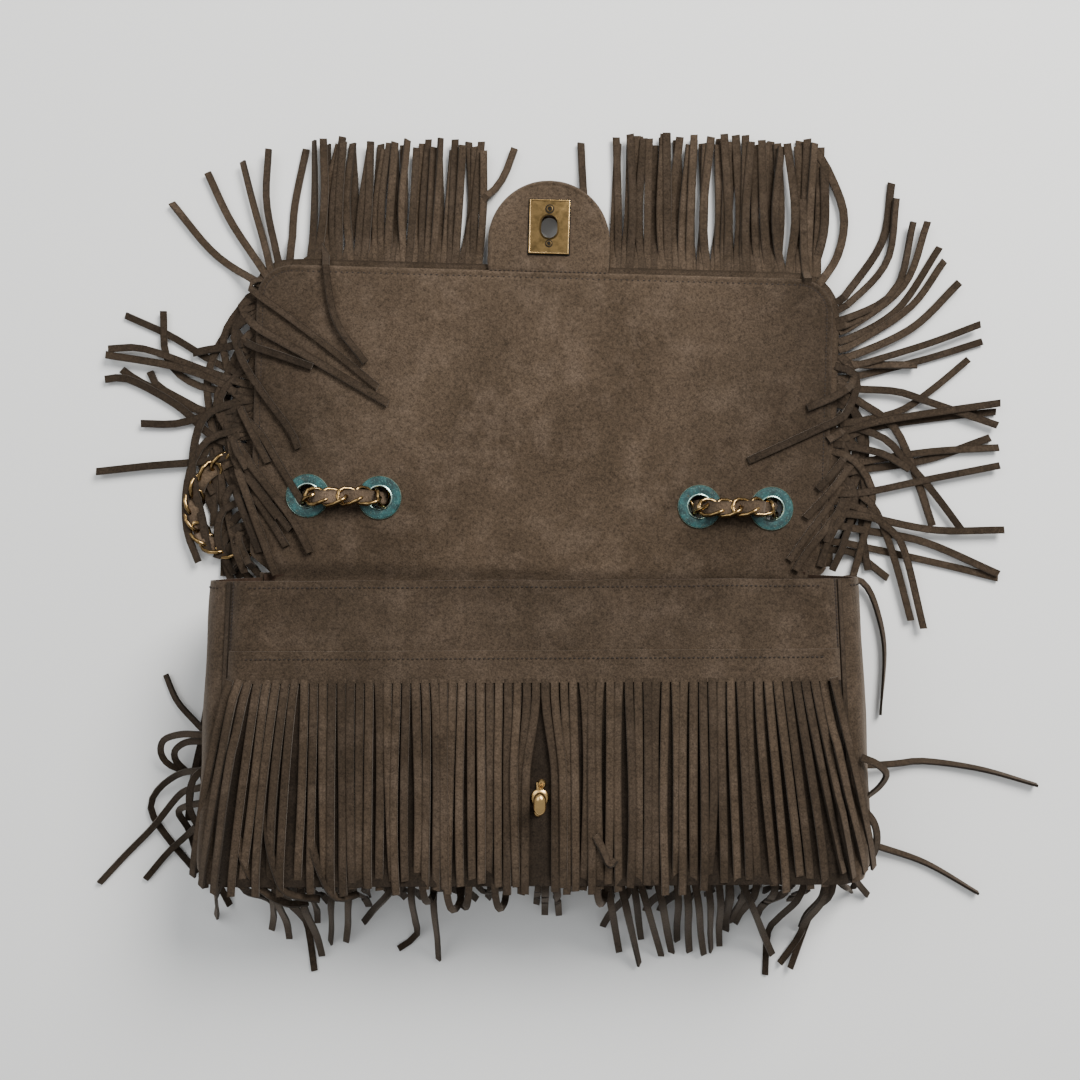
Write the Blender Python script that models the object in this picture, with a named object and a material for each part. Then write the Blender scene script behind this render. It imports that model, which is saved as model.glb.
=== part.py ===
"""Fringed suede flap bag, lying on its back with the flap laid open.

Metres, +Z up, origin at the middle of the back panel's outer face. +Y points out of the
mouth, towards the open flap, and +X runs along the bag. The flap turns on two parallel
folds: one behind the mouth, one at the bag's front edge. Its pieces are drawn in a flap
frame (w across, u away from the first fold, z up) that a pair of empties carries.
"""
import math

import bmesh
import bpy
from mathutils import Matrix, Vector

# Bag body
BODY_HEIGHT = 0.137          # mouth to bottom
BODY_DEPTH = 0.070           # back face to front face
FRONT_HALF_MOUTH = 0.1355    # half width of the front panel at the mouth
FRONT_HALF_BOTTOM = 0.1420   # and at the bottom
GUSSET_BULGE = 0.0095        # how far a gusset stands out past the panels
GUSSET_DROP = 0.0025         # the gusset's edge lies this far below the mouth
WALL = 0.0016                # suede panel
LINING = 0.0006
GAP = 0.0003                 # between pieces that touch
LIP_REACH = 0.0030           # where the back panel turns up into the flap
LIP_HEIGHT = 0.0070

# Fringe
PITCH = 0.0042
FILL = 0.72                  # share of the pitch that is strip
FRINGE_THICK = 0.0013
FRINGE_HEADER = 0.044        # uncut suede above the front fringe
FRONT_FRINGE_BOTTOM = -0.0700
PILE = 0.0058                # height of the fringe lying in layers under the flap

# Flap
FLAP_SKEW = math.radians(1.6)
FOLD = Vector((0.0015, 0.0718, 0.0090))
FLAP_LINING_TOP = 0.0100     # inner face of the flap, laid open
FLAP_SPLIT_Z = 0.0088        # lining above, skin below
FLAP_UNDER = 0.0073          # outer face
CLOSED_HEIGHT = 0.0762       # inner face of the closed flap above the back
FLAP_HALF = 0.142
FLAP_LENGTH = 0.1454
FLAP_CORNER = 0.017
TOP_LENGTH = CLOSED_HEIGHT - FOLD.z

# Tab and lock
TAB_SHIFT = 0.0010
TAB_HALF = 0.030
TAB_END = 0.1904
SLOT_U = 0.1671
SLOT_W, SLOT_L = 0.0090, 0.0110
PLATE_W, PLATE_L, PLATE_T = 0.0197, 0.0266, 0.0008
SCREW_OFFSETS = (0.0087, -0.0077)
SCREW_HEAD_R, SCREW_SHANK_R, SCREW_HOLE_R = 0.00175, 0.0008, 0.0010
POST = Vector((0.0025, -0.0291, 0.0))
POST_R = 0.0018
POST_TOP = 0.0802
KNOB_RADII = (0.0031, 0.00485, 0.0030)
BASE_RADII = (0.0037, 0.0080)

# Eyelets and strap
EYELET_U = 0.0318
EYELET_W = 0.0964
EYELET_HALF_SPACING = 0.0177
EYELET_HOLE_R, EYELET_BARREL_R, EYELET_R = 0.0069, 0.0076, 0.01085
STRAP_HALF = 0.0043          # half the chain's width
STRAP_SQUASH = 0.6           # chain height over width
STRAP_Z = 0.0029
STRAP_INNER_R = 0.0034

MOUTH = BODY_HEIGHT / 2


def clear_scene():
    for obj in list(bpy.data.objects):
        bpy.data.objects.remove(obj, do_unlink=True)


def material(name, color, roughness, metallic=0.0):
    mat = bpy.data.materials.new(name)
    mat.use_nodes = True
    shader = mat.node_tree.nodes["Principled BSDF"]
    shader.inputs["Base Color"].default_value = (*color, 1.0)
    shader.inputs["Roughness"].default_value = roughness
    shader.inputs["Metallic"].default_value = metallic
    return mat


def add_empty(name, location, parent=None, turn=0.0):
    empty = bpy.data.objects.new(name, None)
    empty.location = location
    empty.rotation_euler.z = turn
    empty.parent = parent
    bpy.context.collection.objects.link(empty)
    return empty


def add_object(name, bm, mat, parent=None, origin=(0.0, 0.0, 0.0)):
    """Turn a bmesh into a named object whose origin is at `origin`, carried by `parent`."""
    bmesh.ops.recalc_face_normals(bm, faces=bm.faces)
    bmesh.ops.translate(bm, verts=bm.verts, vec=-Vector(origin))
    mesh = bpy.data.meshes.new(name)
    bm.to_mesh(mesh)
    bm.free()
    mesh.materials.append(mat)
    obj = bpy.data.objects.new(name, mesh)
    obj.parent = parent
    if parent is None:
        obj.location = origin
    bpy.context.collection.objects.link(obj)
    return obj


def extruded(outline, z_low, z_high):
    """A flat outline given as (x, y) points, raised from z_low to z_high."""
    bm = bmesh.new()
    face = bm.faces.new([bm.verts.new((x, y, z_low)) for x, y in outline])
    raised = bmesh.ops.extrude_face_region(bm, geom=[face])
    verts = [v for v in raised["geom"] if isinstance(v, bmesh.types.BMVert)]
    bmesh.ops.translate(bm, verts=verts, vec=(0.0, 0.0, z_high - z_low))
    return bm


def arc(center, radius, start_deg, end_deg, steps):
    """Points along an arc, ends included."""
    for i in range(steps + 1):
        angle = math.radians(start_deg + (end_deg - start_deg) * i / steps)
        yield (center[0] + radius * math.cos(angle), center[1] + radius * math.sin(angle))


def oval(center, half_w, half_l, steps=24):
    return [(center[0] + half_w * math.cos(2 * math.pi * i / steps),
             center[1] + half_l * math.sin(2 * math.pi * i / steps)) for i in range(steps)]


def cut(obj, cutter):
    boolean = obj.modifiers.new("cut", "BOOLEAN")
    boolean.operation = "DIFFERENCE"
    boolean.solver = "EXACT"
    boolean.object = cutter


def add_cutter(name, outline, z_low, z_high, parent=None, origin=(0.0, 0.0, 0.0)):
    cutter = add_object(name, extruded(outline, z_low, z_high), MATERIALS["brass"], parent, origin)
    cutter.hide_render = True
    cutter.display_type = "WIRE"
    return cutter


def lerp(a, b, t):
    return Vector(a).lerp(Vector(b), t)


def comb_outline(header, root_a, root_b, tip_a, tip_b, count, bulge=0.0, skip=()):
    """A strip of suede cut into a fringe: `header` holds the two points behind the cut line
    root_a-root_b, and each strip runs to its own point between tip_a and tip_b."""
    along = Vector(root_b) - Vector(root_a)
    pitch = along.length / count
    outward = (lerp(tip_a, tip_b, 0.5) - lerp(root_a, root_b, 0.5)).normalized()
    outline = [header[0]]
    for i in range(count):
        if i in skip:
            continue
        t = (i + 0.5) / count
        root = lerp(root_a, root_b, t)
        tip = lerp(tip_a, tip_b, t) + outward * bulge * 4 * t * (1 - t)
        side = (tip - root).orthogonal().normalized()
        if side.dot(along) < 0:
            side.negate()
        side *= FILL * pitch * side.dot(along.normalized()) / 2
        outline += [root - side, tip - side, tip + side, root + side]
    outline.append(header[1])
    return [tuple(point) for point in outline]


def front_half(y):
    """Half width of the front and back panels at height y."""
    t = (MOUTH - y) / BODY_HEIGHT
    return FRONT_HALF_MOUTH + (FRONT_HALF_BOTTOM - FRONT_HALF_MOUTH) * t


def panel_outline(inset=0.0):
    low, high = -MOUTH, MOUTH
    return [(-front_half(low) + inset, low), (front_half(low) - inset, low),
            (front_half(high) - inset, high), (-front_half(high) + inset, high)]


def add_back_panel():
    """The back panel, turned up along its top edge where it runs on into the flap."""
    profile = [(-MOUTH, 0.0), (MOUTH, 0.0), (MOUTH + LIP_REACH, LIP_HEIGHT - WALL),
               (MOUTH + LIP_REACH - GAP, LIP_HEIGHT), (MOUTH - WALL, WALL), (-MOUTH, WALL)]
    bm = bmesh.new()
    half = FRONT_HALF_MOUTH
    face = bm.faces.new([bm.verts.new((-half, y, z)) for y, z in profile])
    side = bmesh.ops.extrude_face_region(bm, geom=[face])
    verts = [v for v in side["geom"] if isinstance(v, bmesh.types.BMVert)]
    bmesh.ops.translate(bm, verts=verts, vec=(2 * half, 0.0, 0.0))
    for vert in bm.verts:
        vert.co.x = math.copysign(front_half(min(vert.co.y, MOUTH)), vert.co.x)
    add_object("back_panel", bm, MATERIALS["suede"])


def add_gusset(name, side):
    """A side gusset: a strip bowed outwards between the two panels, narrower at the mouth."""
    rows = 6
    outer, inner = [], []
    for i in range(rows + 1):
        angle = math.pi * i / rows
        z = BODY_DEPTH / 2 - (BODY_DEPTH / 2) * math.cos(angle)
        bow = GUSSET_BULGE * math.sin(angle) ** 0.6
        outer.append((GAP + bow, min(max(z, GAP), BODY_DEPTH)))
        inner.append((GAP + max(bow - WALL, 0.0), outer[-1][1]))
    profile = outer + inner[-2:0:-1]
    bm = bmesh.new()
    low, high = -MOUTH, MOUTH - GUSSET_DROP
    face = bm.faces.new([bm.verts.new((side * (front_half(low) + x), low, z)) for x, z in profile])
    top = bmesh.ops.extrude_face_region(bm, geom=[face])
    verts = [v for v in top["geom"] if isinstance(v, bmesh.types.BMVert)]
    taper = side * (front_half(high) - front_half(low))
    bmesh.ops.translate(bm, verts=verts, vec=(taper, high - low, 0.0))
    add_object(name, bm, MATERIALS["suede"])


def add_bottom_panel():
    half = FRONT_HALF_BOTTOM - GAP
    outline = [(-half, -MOUTH), (half, -MOUTH), (half, -MOUTH + WALL), (-half, -MOUTH + WALL)]
    bm = extruded(outline, WALL + GAP, BODY_DEPTH - WALL - GAP)
    add_object("bottom_panel", bm, MATERIALS["suede"])


def add_lining():
    """A thin fabric pocket with one open end at the mouth."""
    low_y, high_y = -MOUTH + WALL + GAP, MOUTH - GUSSET_DROP
    low_z, high_z = WALL + GAP, BODY_DEPTH - WALL - 0.0016
    margin = 0.0015
    bm = bmesh.new()
    corners = [(-1, low_z), (1, low_z), (1, high_z), (-1, high_z)]
    half_low, half_high = front_half(low_y) - margin, front_half(high_y) - margin
    floor = bm.faces.new([bm.verts.new((s * half_low, low_y, z)) for s, z in corners])
    walls = bmesh.ops.extrude_face_region(bm, geom=[floor])
    mouth = [f for f in walls["geom"] if isinstance(f, bmesh.types.BMFace)]
    for vert in mouth[0].verts:
        vert.co.y = high_y
        vert.co.x = math.copysign(half_high, vert.co.x)
    bmesh.ops.recalc_face_normals(bm, faces=bm.faces)
    bmesh.ops.inset_region(bm, faces=mouth, thickness=LINING, use_boundary=True)
    cavity = bmesh.ops.extrude_face_region(bm, geom=mouth)
    inner = [v for v in cavity["geom"] if isinstance(v, bmesh.types.BMVert)]
    bmesh.ops.delete(bm, geom=mouth, context="FACES_ONLY")
    for vert in inner:
        vert.co.y = low_y + LINING
        vert.co.x = math.copysign(half_low - LINING, vert.co.x)
    add_object("lining", bm, MATERIALS["lining"])


def add_front():
    """Front panel, the fringed overlay that covers it, and the turn lock on it."""
    hole = add_cutter("post_hole", oval(POST, POST_R + GAP, POST_R + GAP, 16), 0.060, 0.080)
    panel = add_object("front_panel", extruded(panel_outline(), BODY_DEPTH - WALL, BODY_DEPTH),
                       MATERIALS["suede"])
    low, high = BODY_DEPTH + GAP, BODY_DEPTH + FRINGE_THICK + GAP
    cut_line = MOUTH - FRINGE_HEADER
    half = front_half(cut_line)
    count = round(2 * half / PITCH)
    lock_strip = int((POST.x + half) / (2 * half / count))
    outline = comb_outline([(-front_half(MOUTH), MOUTH), (front_half(MOUTH), MOUTH)],
                           (-half, cut_line), (half, cut_line),
                           (-half - 0.014, FRONT_FRINGE_BOTTOM), (half + 0.014, FRONT_FRINGE_BOTTOM),
                           count, skip=(lock_strip - 1, lock_strip, lock_strip + 1))
    add_object("front_fringe", extruded(outline, low, high), MATERIALS["fringe"])
    base = add_object("lock_base", extruded(oval(POST, *BASE_RADII), low, low + 0.0015),
                      MATERIALS["brass"])
    washer = add_object("lock_washer", extruded(oval(POST, 0.007, 0.007), BODY_DEPTH - WALL - 0.0013,
                                                BODY_DEPTH - WALL - GAP), MATERIALS["brass"])
    for piece in (panel, base, washer):
        cut(piece, hole)
    add_object("lock_post", extruded(oval(POST, POST_R, POST_R, 16), BODY_DEPTH - WALL - 0.0013,
                                     POST_TOP), MATERIALS["brass"])


def add_knob():
    """The oval turn knob; at rest its long side lines up with the slot, so it is unlocked."""
    bm = bmesh.new()
    bmesh.ops.create_uvsphere(bm, u_segments=16, v_segments=8, radius=1.0)
    bmesh.ops.scale(bm, verts=bm.verts, vec=KNOB_RADII)
    centre = Vector((POST.x, POST.y, POST_TOP + GAP + KNOB_RADII[2]))
    bmesh.ops.translate(bm, verts=bm.verts, vec=centre)
    knob = add_object("lock_knob", bm, MATERIALS["brass"], origin=centre)
    knob.data.shade_smooth()


def add_body_fringes():
    """The second fringe row below the front, and the strips that fall from the gussets."""
    half, count = 0.142, 44
    outline = comb_outline([(-half, 0.004), (half, 0.004)], (-half, 0.0), (half, 0.0),
                           (-half - 0.006, -0.077), (half + 0.006, -0.077), count)
    bm = extruded(outline, 0.0, FRINGE_THICK)
    slope = Matrix.Rotation(math.radians(39.0), 4, "X")
    bmesh.ops.transform(bm, verts=bm.verts, matrix=slope)
    bmesh.ops.translate(bm, verts=bm.verts, vec=(0.0, -MOUTH - 0.0042, 0.0485))
    add_object("lower_fringe", bm, MATERIALS["fringe"])

    edge = -FRONT_HALF_BOTTOM - GUSSET_BULGE - 0.002
    outline = comb_outline([(edge + 0.001, 0.024), (edge + 0.001, -0.056)],
                           (edge, 0.024), (edge, -0.056),
                           (-0.184, 0.026), (-0.219, -0.087), 14)
    add_object("side_fringe_left", extruded(outline, 0.0, 0.004), MATERIALS["fringe"])
    outline = comb_outline([(-edge - 0.001, 0.030), (-edge - 0.001, -0.056)],
                           (-edge, 0.030), (-edge, -0.056),
                           (0.2516, -0.020), (0.2220, -0.098), 9)
    add_object("side_fringe_right", extruded(outline, 0.0, 0.004), MATERIALS["fringe"])


def eyelet_places():
    return [(side * (EYELET_W + sign * EYELET_HALF_SPACING), EYELET_U)
            for side, sign in ((-1, 1), (-1, -1), (1, -1), (1, 1))]


def add_flap_top(hinge):
    """The flap between the two folds, with its eyelets and the strap threaded through them."""
    end = TOP_LENGTH - GAP
    outline = [(-FLAP_HALF, 0.0005), (FLAP_HALF, 0.0005), (FLAP_HALF, end), (-FLAP_HALF, end)]
    layers = flap_layers("flap_top", outline, hinge, (0.0, 0.0, FOLD.z))
    for number, place in enumerate(eyelet_places(), 1):
        hole = add_cutter(f"eyelet_hole_{number}", oval(place, EYELET_BARREL_R + GAP, EYELET_BARREL_R + GAP),
                          0.0, 0.02, hinge, (0.0, 0.0, FOLD.z))
        for layer in layers:
            cut(layer, hole)
        profile = [(EYELET_HOLE_R, FLAP_UNDER), (EYELET_BARREL_R, FLAP_UNDER),
                   (EYELET_BARREL_R, FLAP_LINING_TOP + GAP), (EYELET_R, FLAP_LINING_TOP + GAP),
                   (EYELET_R, 0.0108), (0.0094, 0.0114), (EYELET_HOLE_R, 0.0112)]
        add_ring(f"eyelet_{number}", profile, place, MATERIALS["enamel"], hinge)
        profile = [(0.0079, 0.0061), (0.0104, 0.0061), (0.0104, 0.0070), (0.0079, 0.0070)]
        add_ring(f"eyelet_washer_{number}", profile, place, MATERIALS["brass"], hinge)
    add_strap(hinge)
    add_flap_fringe("flap_fringe_left_top", hinge, (0.0, 0.0, FOLD.z), (0.0061, 0.0070), -1,
                    (0.010, 0.062), (0.218, 0.035), (0.185, 0.066), 12)
    add_flap_fringe("flap_fringe_right_top", hinge, (0.0, 0.0, FOLD.z), (0.0061, 0.0070), 1,
                    (0.008, 0.062), (0.229, 0.022), (0.226, 0.074), 12)


def flap_layers(name, outline, hinge, origin):
    lining = add_object(name + "_lining", extruded(outline, FLAP_SPLIT_Z, FLAP_LINING_TOP),
                        MATERIALS["suede"], hinge, origin)
    skin = add_object(name + "_skin", extruded(outline, FLAP_UNDER, FLAP_SPLIT_Z - GAP),
                      MATERIALS["suede"], hinge, origin)
    return lining, skin


def add_ring(name, profile, place, mat, hinge):
    """A turned ring: `profile` holds (radius, z) points and is spun about the eyelet's axis."""
    bm = bmesh.new()
    verts = [bm.verts.new((place[0] + r, place[1], z)) for r, z in profile]
    edges = [bm.edges.new((verts[i - 1], verts[i])) for i in range(len(verts))]
    bmesh.ops.spin(bm, geom=verts + edges, cent=(place[0], place[1], 0.0), axis=(0.0, 0.0, 1.0),
                   angle=2 * math.pi, steps=20, use_merge=True)
    ring = add_object(name, bm, mat, hinge, (0.0, 0.0, FOLD.z))
    ring.data.shade_smooth()
    ring.data.set_sharp_from_angle(angle=math.radians(35.0))


def add_flap_fringe(name, hinge, origin, levels, side, roots, tip_low, tip_high, count):
    """A fringe along the flap's left (-1) or right (1) edge, laid out on the surface."""
    header, edge = side * (FLAP_HALF - 0.010), side * (FLAP_HALF - 0.003)
    outline = comb_outline([(header, roots[0]), (header, roots[1])],
                           (edge, roots[0]), (edge, roots[1]),
                           (side * tip_low[0], tip_low[1]), (side * tip_high[0], tip_high[1]), count)
    add_object(name, extruded(outline, *levels), MATERIALS["fringe"], hinge, origin)


def add_tube(name, points, radius, mat, hinge, squash=1.0, resolution=2):
    """A closed tube through `points`, given in the flap frame; squash flattens its section."""
    curve = bpy.data.curves.new(name, "CURVE")
    curve.dimensions = "3D"
    curve.bevel_depth = radius
    curve.bevel_resolution = resolution
    curve.use_fill_caps = True
    spline = curve.splines.new("POLY")
    spline.points.add(len(points) - 1)
    base = points[0][2] if squash != 1.0 else FOLD.z
    for point, (x, y, z) in zip(spline.points, points):
        point.co = (x, y, z - base, 1.0)
    curve.materials.append(mat)
    tube = bpy.data.objects.new(name, curve)
    tube.parent = hinge
    tube.location = (0.0, 0.0, base - FOLD.z)
    tube.scale.z = squash
    bpy.context.collection.objects.link(tube)


def smooth_route(points, spacing):
    """Points about `spacing` apart on a Catmull-Rom curve through the given ones."""
    pts = [Vector(p) for p in points]
    pts = [2 * pts[0] - pts[1]] + pts + [2 * pts[-1] - pts[-2]]
    route = []
    for p0, p1, p2, p3 in zip(pts, pts[1:], pts[2:], pts[3:]):
        steps = max(1, round((p2 - p1).length / spacing))
        for i in range(steps):
            t = i / steps
            route.append(0.5 * (2 * p1 + (p2 - p0) * t + (2 * p0 - 5 * p1 + 4 * p2 - p3) * t ** 2
                                + (3 * p1 - p0 - 3 * p2 + p3) * t ** 3))
    route.append(pts[-2])
    return route


# The strap's two long runs under the flap, as (w, u) in the flap frame.
STRAP_OUTER_ROUTE = [(-0.1141, 0.0318), (-0.1180, 0.0450), (-0.1330, 0.0545), (-0.1520, 0.0560),
                     (-0.1690, 0.0480), (-0.1760, 0.0320), (-0.1700, 0.0160), (-0.1540, 0.0085),
                     (-0.1300, 0.0080), (-0.0900, 0.0065), (-0.0500, 0.0085), (0.0000, 0.0070),
                     (0.0500, 0.0085), (0.0900, 0.0065), (0.1180, 0.0090), (0.1320, 0.0200),
                     (0.1330, 0.0360), (0.1250, 0.0440), (0.1150, 0.0400), (0.1141, 0.0318)]
STRAP_INNER_ROUTE = [(-0.0787, 0.0318), (-0.0790, 0.0480), (-0.0680, 0.0580), (-0.0560, 0.0500),
                     (-0.0520, 0.0330), (-0.0400, 0.0225), (-0.0275, 0.0330), (-0.0240, 0.0500),
                     (-0.0120, 0.0590), (0.0000, 0.0500), (0.0040, 0.0330), (0.0160, 0.0225),
                     (0.0280, 0.0330), (0.0320, 0.0500), (0.0440, 0.0590), (0.0560, 0.0540),
                     (0.0640, 0.0440), (0.0760, 0.0400), (0.0787, 0.0318)]


def add_strap(hinge):
    """The chain strap: two short runs over the inner face, two long runs under the flap."""
    arch = [(0.0177, 0.0062), (0.0177, 0.0110), (0.0162, 0.0148), (0.0115, 0.0172), (0.0, 0.0180)]
    for name, side in (("strap_inner_left", -1), ("strap_inner_right", 1)):
        half = [(side * EYELET_W + w, EYELET_U, z) for w, z in arch]
        other = [(side * EYELET_W - w, EYELET_U, z) for w, z in reversed(arch[:-1])]
        add_tube(name, smooth_route(half + other, 0.004), STRAP_INNER_R, MATERIALS["chain"], hinge)
    for name, plan in (("strap_run_outer", STRAP_OUTER_ROUTE), ("strap_run_inner", STRAP_INNER_ROUTE)):
        route = smooth_route([(w, u, STRAP_Z) for w, u in plan], 0.009)
        add_tube(name, route, STRAP_HALF, MATERIALS["chain"], hinge, STRAP_SQUASH)


def add_flap_front(hinge):
    """The flap beyond the second fold, with its tab, lock plates and fringes."""
    origin = (0.0, TOP_LENGTH, FLAP_LINING_TOP)
    start = TOP_LENGTH + GAP
    inner = FLAP_HALF - FLAP_CORNER
    outline = [(-FLAP_HALF, start), (FLAP_HALF, start)]
    outline += arc((inner, FLAP_LENGTH - FLAP_CORNER), FLAP_CORNER, 0, 90, 6)
    outline += arc((-inner, FLAP_LENGTH - FLAP_CORNER), FLAP_CORNER, 90, 180, 6)
    flap_layers("flap_front", outline, hinge, origin)

    centre = (TAB_SHIFT, SLOT_U)
    base = FLAP_LENGTH + GAP
    round_from = TAB_END - TAB_HALF
    outline = [(TAB_SHIFT - TAB_HALF, base), (TAB_SHIFT + TAB_HALF, base)]
    outline += arc((TAB_SHIFT, round_from), TAB_HALF, 0, 180, 16)
    tab = add_object("tab", extruded(outline, FLAP_UNDER, FLAP_LINING_TOP), MATERIALS["suede"],
                     hinge, origin)
    half_w, half_l = PLATE_W / 2, PLATE_L / 2
    outline = [(centre[0] + x, centre[1] + y) for x, y in
               ((-half_w, -half_l), (half_w, -half_l), (half_w, half_l), (-half_w, half_l))]
    top = FLAP_LINING_TOP + GAP
    plates = [add_object("lock_plate_inner", extruded(outline, top, top + PLATE_T),
                         MATERIALS["brass"], hinge, origin),
              add_object("lock_plate_outer", extruded(outline, FLAP_UNDER - GAP - PLATE_T, FLAP_UNDER - GAP),
                         MATERIALS["brass"], hinge, origin)]
    slot = add_cutter("slot_cut", oval(centre, SLOT_W / 2, SLOT_L / 2, 20), 0.0, 0.02, hinge, origin)
    screws = [add_cutter(f"screw_cut_{i}", oval((centre[0], centre[1] + offset), SCREW_HOLE_R,
                                                SCREW_HOLE_R, 12), 0.0, 0.02, hinge, origin)
              for i, offset in enumerate(SCREW_OFFSETS)]
    for piece in (tab, *plates):
        for cutter in (slot, *screws):
            cut(piece, cutter)
    head = top + PLATE_T + GAP
    for name, offset in zip(("plate_screw_upper", "plate_screw_lower"), SCREW_OFFSETS):
        add_screw(name, (centre[0], centre[1] + offset), head, hinge, origin)

    levels = (0.0, PILE)
    for name, side, reach in (("flap_fringe_left_front", -1, ((0.212, 0.076), (0.205, 0.126))),
                              ("flap_fringe_right_front", 1, ((0.224, 0.088), (0.180, 0.186)))):
        add_flap_fringe(name, hinge, origin, levels, side, (0.070, 0.126), *reach, 14)
    for name, side, far in (("flap_fringe_end_left", -1, (0.186, 0.184)),
                            ("flap_fringe_end_right", 1, (0.150, 0.204))):
        near_edge, far_edge = side * 0.036, side * 0.132
        outline = comb_outline([(far_edge, 0.134), (near_edge, 0.134)],
                               (far_edge, 0.1425), (near_edge, 0.1425),
                               (side * far[0], far[1]), (side * 0.040, 0.2125), 22, bulge=0.008)
        add_object(name, extruded(outline, *levels), MATERIALS["fringe"], hinge, origin)


def add_screw(name, place, head_z, hinge, origin):
    """A small screw: a round head over the inner plate, its shank down to the outer plate."""
    bm = bmesh.new()
    profile = [(0.0, FLAP_UNDER - PLATE_T), (SCREW_SHANK_R, FLAP_UNDER - PLATE_T),
               (SCREW_SHANK_R, head_z), (SCREW_HEAD_R, head_z), (SCREW_HEAD_R, head_z + 0.0004),
               (0.0, head_z + 0.0007)]
    verts = [bm.verts.new((place[0] + r, place[1], z)) for r, z in profile]
    edges = [bm.edges.new(pair) for pair in zip(verts, verts[1:])]
    bmesh.ops.spin(bm, geom=verts + edges, cent=(place[0], place[1], 0.0), axis=(0.0, 0.0, 1.0),
                   angle=2 * math.pi, steps=12, use_merge=True)
    bmesh.ops.remove_doubles(bm, verts=bm.verts, dist=0.00001)
    add_object(name, bm, MATERIALS["brass"], hinge, origin)


clear_scene()
MATERIALS = {
    "suede": material("suede", (0.105, 0.078, 0.058), 0.95),
    "fringe": material("fringe_suede", (0.080, 0.060, 0.045), 0.95),
    "lining": material("lining_cloth", (0.050, 0.038, 0.030), 0.90),
    "brass": material("antique_brass", (0.42, 0.28, 0.11), 0.35, 1.0),
    "enamel": material("teal_enamel", (0.045, 0.20, 0.19), 0.35),
    "chain": material("chain_brass", (0.30, 0.20, 0.10), 0.40, 1.0),
}
add_back_panel()
add_gusset("gusset_left", -1)
add_gusset("gusset_right", 1)
add_bottom_panel()
add_lining()
add_front()
add_knob()
add_body_fringes()
flap_top_hinge = add_empty("flap_top_hinge", FOLD, turn=-FLAP_SKEW)
flap_front_hinge = add_empty("flap_front_hinge", (0.0, TOP_LENGTH, FLAP_LINING_TOP - FOLD.z), flap_top_hinge)
add_flap_top(flap_top_hinge)
add_flap_front(flap_front_hinge)
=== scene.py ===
import random
from math import atan2, cos, exp, hypot, pi, radians, sin, sqrt, tau

import bmesh
import bpy
from bpy.props import FloatProperty, FloatVectorProperty, IntProperty, PointerProperty
from mathutils import Matrix, Vector, noise
from mathutils.geometry import interpolate_bezier


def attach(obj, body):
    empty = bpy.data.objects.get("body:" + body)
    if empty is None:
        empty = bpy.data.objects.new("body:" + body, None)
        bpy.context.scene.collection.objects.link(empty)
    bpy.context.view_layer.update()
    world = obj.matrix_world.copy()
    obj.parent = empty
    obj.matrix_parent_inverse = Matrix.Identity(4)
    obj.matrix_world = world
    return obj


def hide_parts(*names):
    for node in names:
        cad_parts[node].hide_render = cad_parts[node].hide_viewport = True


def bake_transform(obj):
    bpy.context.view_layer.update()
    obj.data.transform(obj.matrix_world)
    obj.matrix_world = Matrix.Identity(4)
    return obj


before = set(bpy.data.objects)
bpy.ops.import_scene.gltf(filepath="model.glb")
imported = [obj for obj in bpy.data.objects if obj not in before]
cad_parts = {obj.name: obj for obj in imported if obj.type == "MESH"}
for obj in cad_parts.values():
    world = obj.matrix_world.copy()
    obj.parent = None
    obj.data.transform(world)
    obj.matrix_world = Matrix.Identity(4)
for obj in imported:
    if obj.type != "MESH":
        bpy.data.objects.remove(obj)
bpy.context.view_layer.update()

bl_info = {
    "name": "Fringed Suede Flap Bag",
    "version": (1, 0, 0),
    "blender": (4, 5, 0),
    "location": "View3D > Sidebar > Fringed Bag",
    "description": "Builds an open suede flap bag with cut fringe, eyelets and a chain strap",
    "category": "Object",
}

MM = 0.001

# The body, in metres: it lies on its back with its mouth towards +Y.
MOUTH_Y, FOOT_Y = 0.0672, -0.0685
HALF_MOUTH, HALF_FOOT = 0.1355, 0.1420
FACE_Z, BACK_Z = 0.0700, 0.0016
GUSSET_SWELL, FOOT_SWELL = 0.0095, 0.0042
BODY_TILT = 0.005

# The open flap: its fold, lean, size and the levels of its two faces.
FOLD_X, FOLD_Y = 0.0015, 0.0718
LEAN = radians(1.6)
FLAP_HALF, FLAP_LENGTH, FLAP_CORNER = 0.142, 0.1454, 0.017
FLAP_FACE, FLAP_UNDER = 0.0100, 0.0073
TOP_LENGTH = 0.0672
TAB_W, TAB_HALF, TAB_END = 0.0010, 0.030, 0.1904
PLATE_U = 0.1671
EYELET_U, EYELET_W = 0.0318, (-0.1141, -0.0787, 0.0787, 0.1141)
POST = (0.0025, -0.0291)

# The lock plate: half its width and reach, its slot's radius and half the slot's straight part.
PLATE_HALF_W, PLATE_HALF_U = 0.00985, 0.0133
SLOT_RADIUS, SLOT_LIP_RADIUS, SLOT_STRAIGHT = 0.0040, 0.0049, 0.0016

# The fringe: where the front row is cut and how far up its header reaches, then levels above what is below.
CUT_Y, HEADER_Y = 0.0232, 0.0362
HEADER_LIFT = 0.0011
HEADER_OVERLAP = 0.0012
ROOT_LEVEL = 0.0066
LEAST_LEVEL = 0.0002

# The strap: its links' spacing, half sizes and turn about the chain, and the lace drawn through them.
LINK_PITCH, LINK_HALF_LONG, LINK_HALF_WIDE, LINK_TURN = 0.0083, 0.0064, 0.0046, 0.62
LACE_WIDTH, LACE_THICKNESS = 0.0064, 0.0012
STRAP_LEVEL = 0.0029


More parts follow.
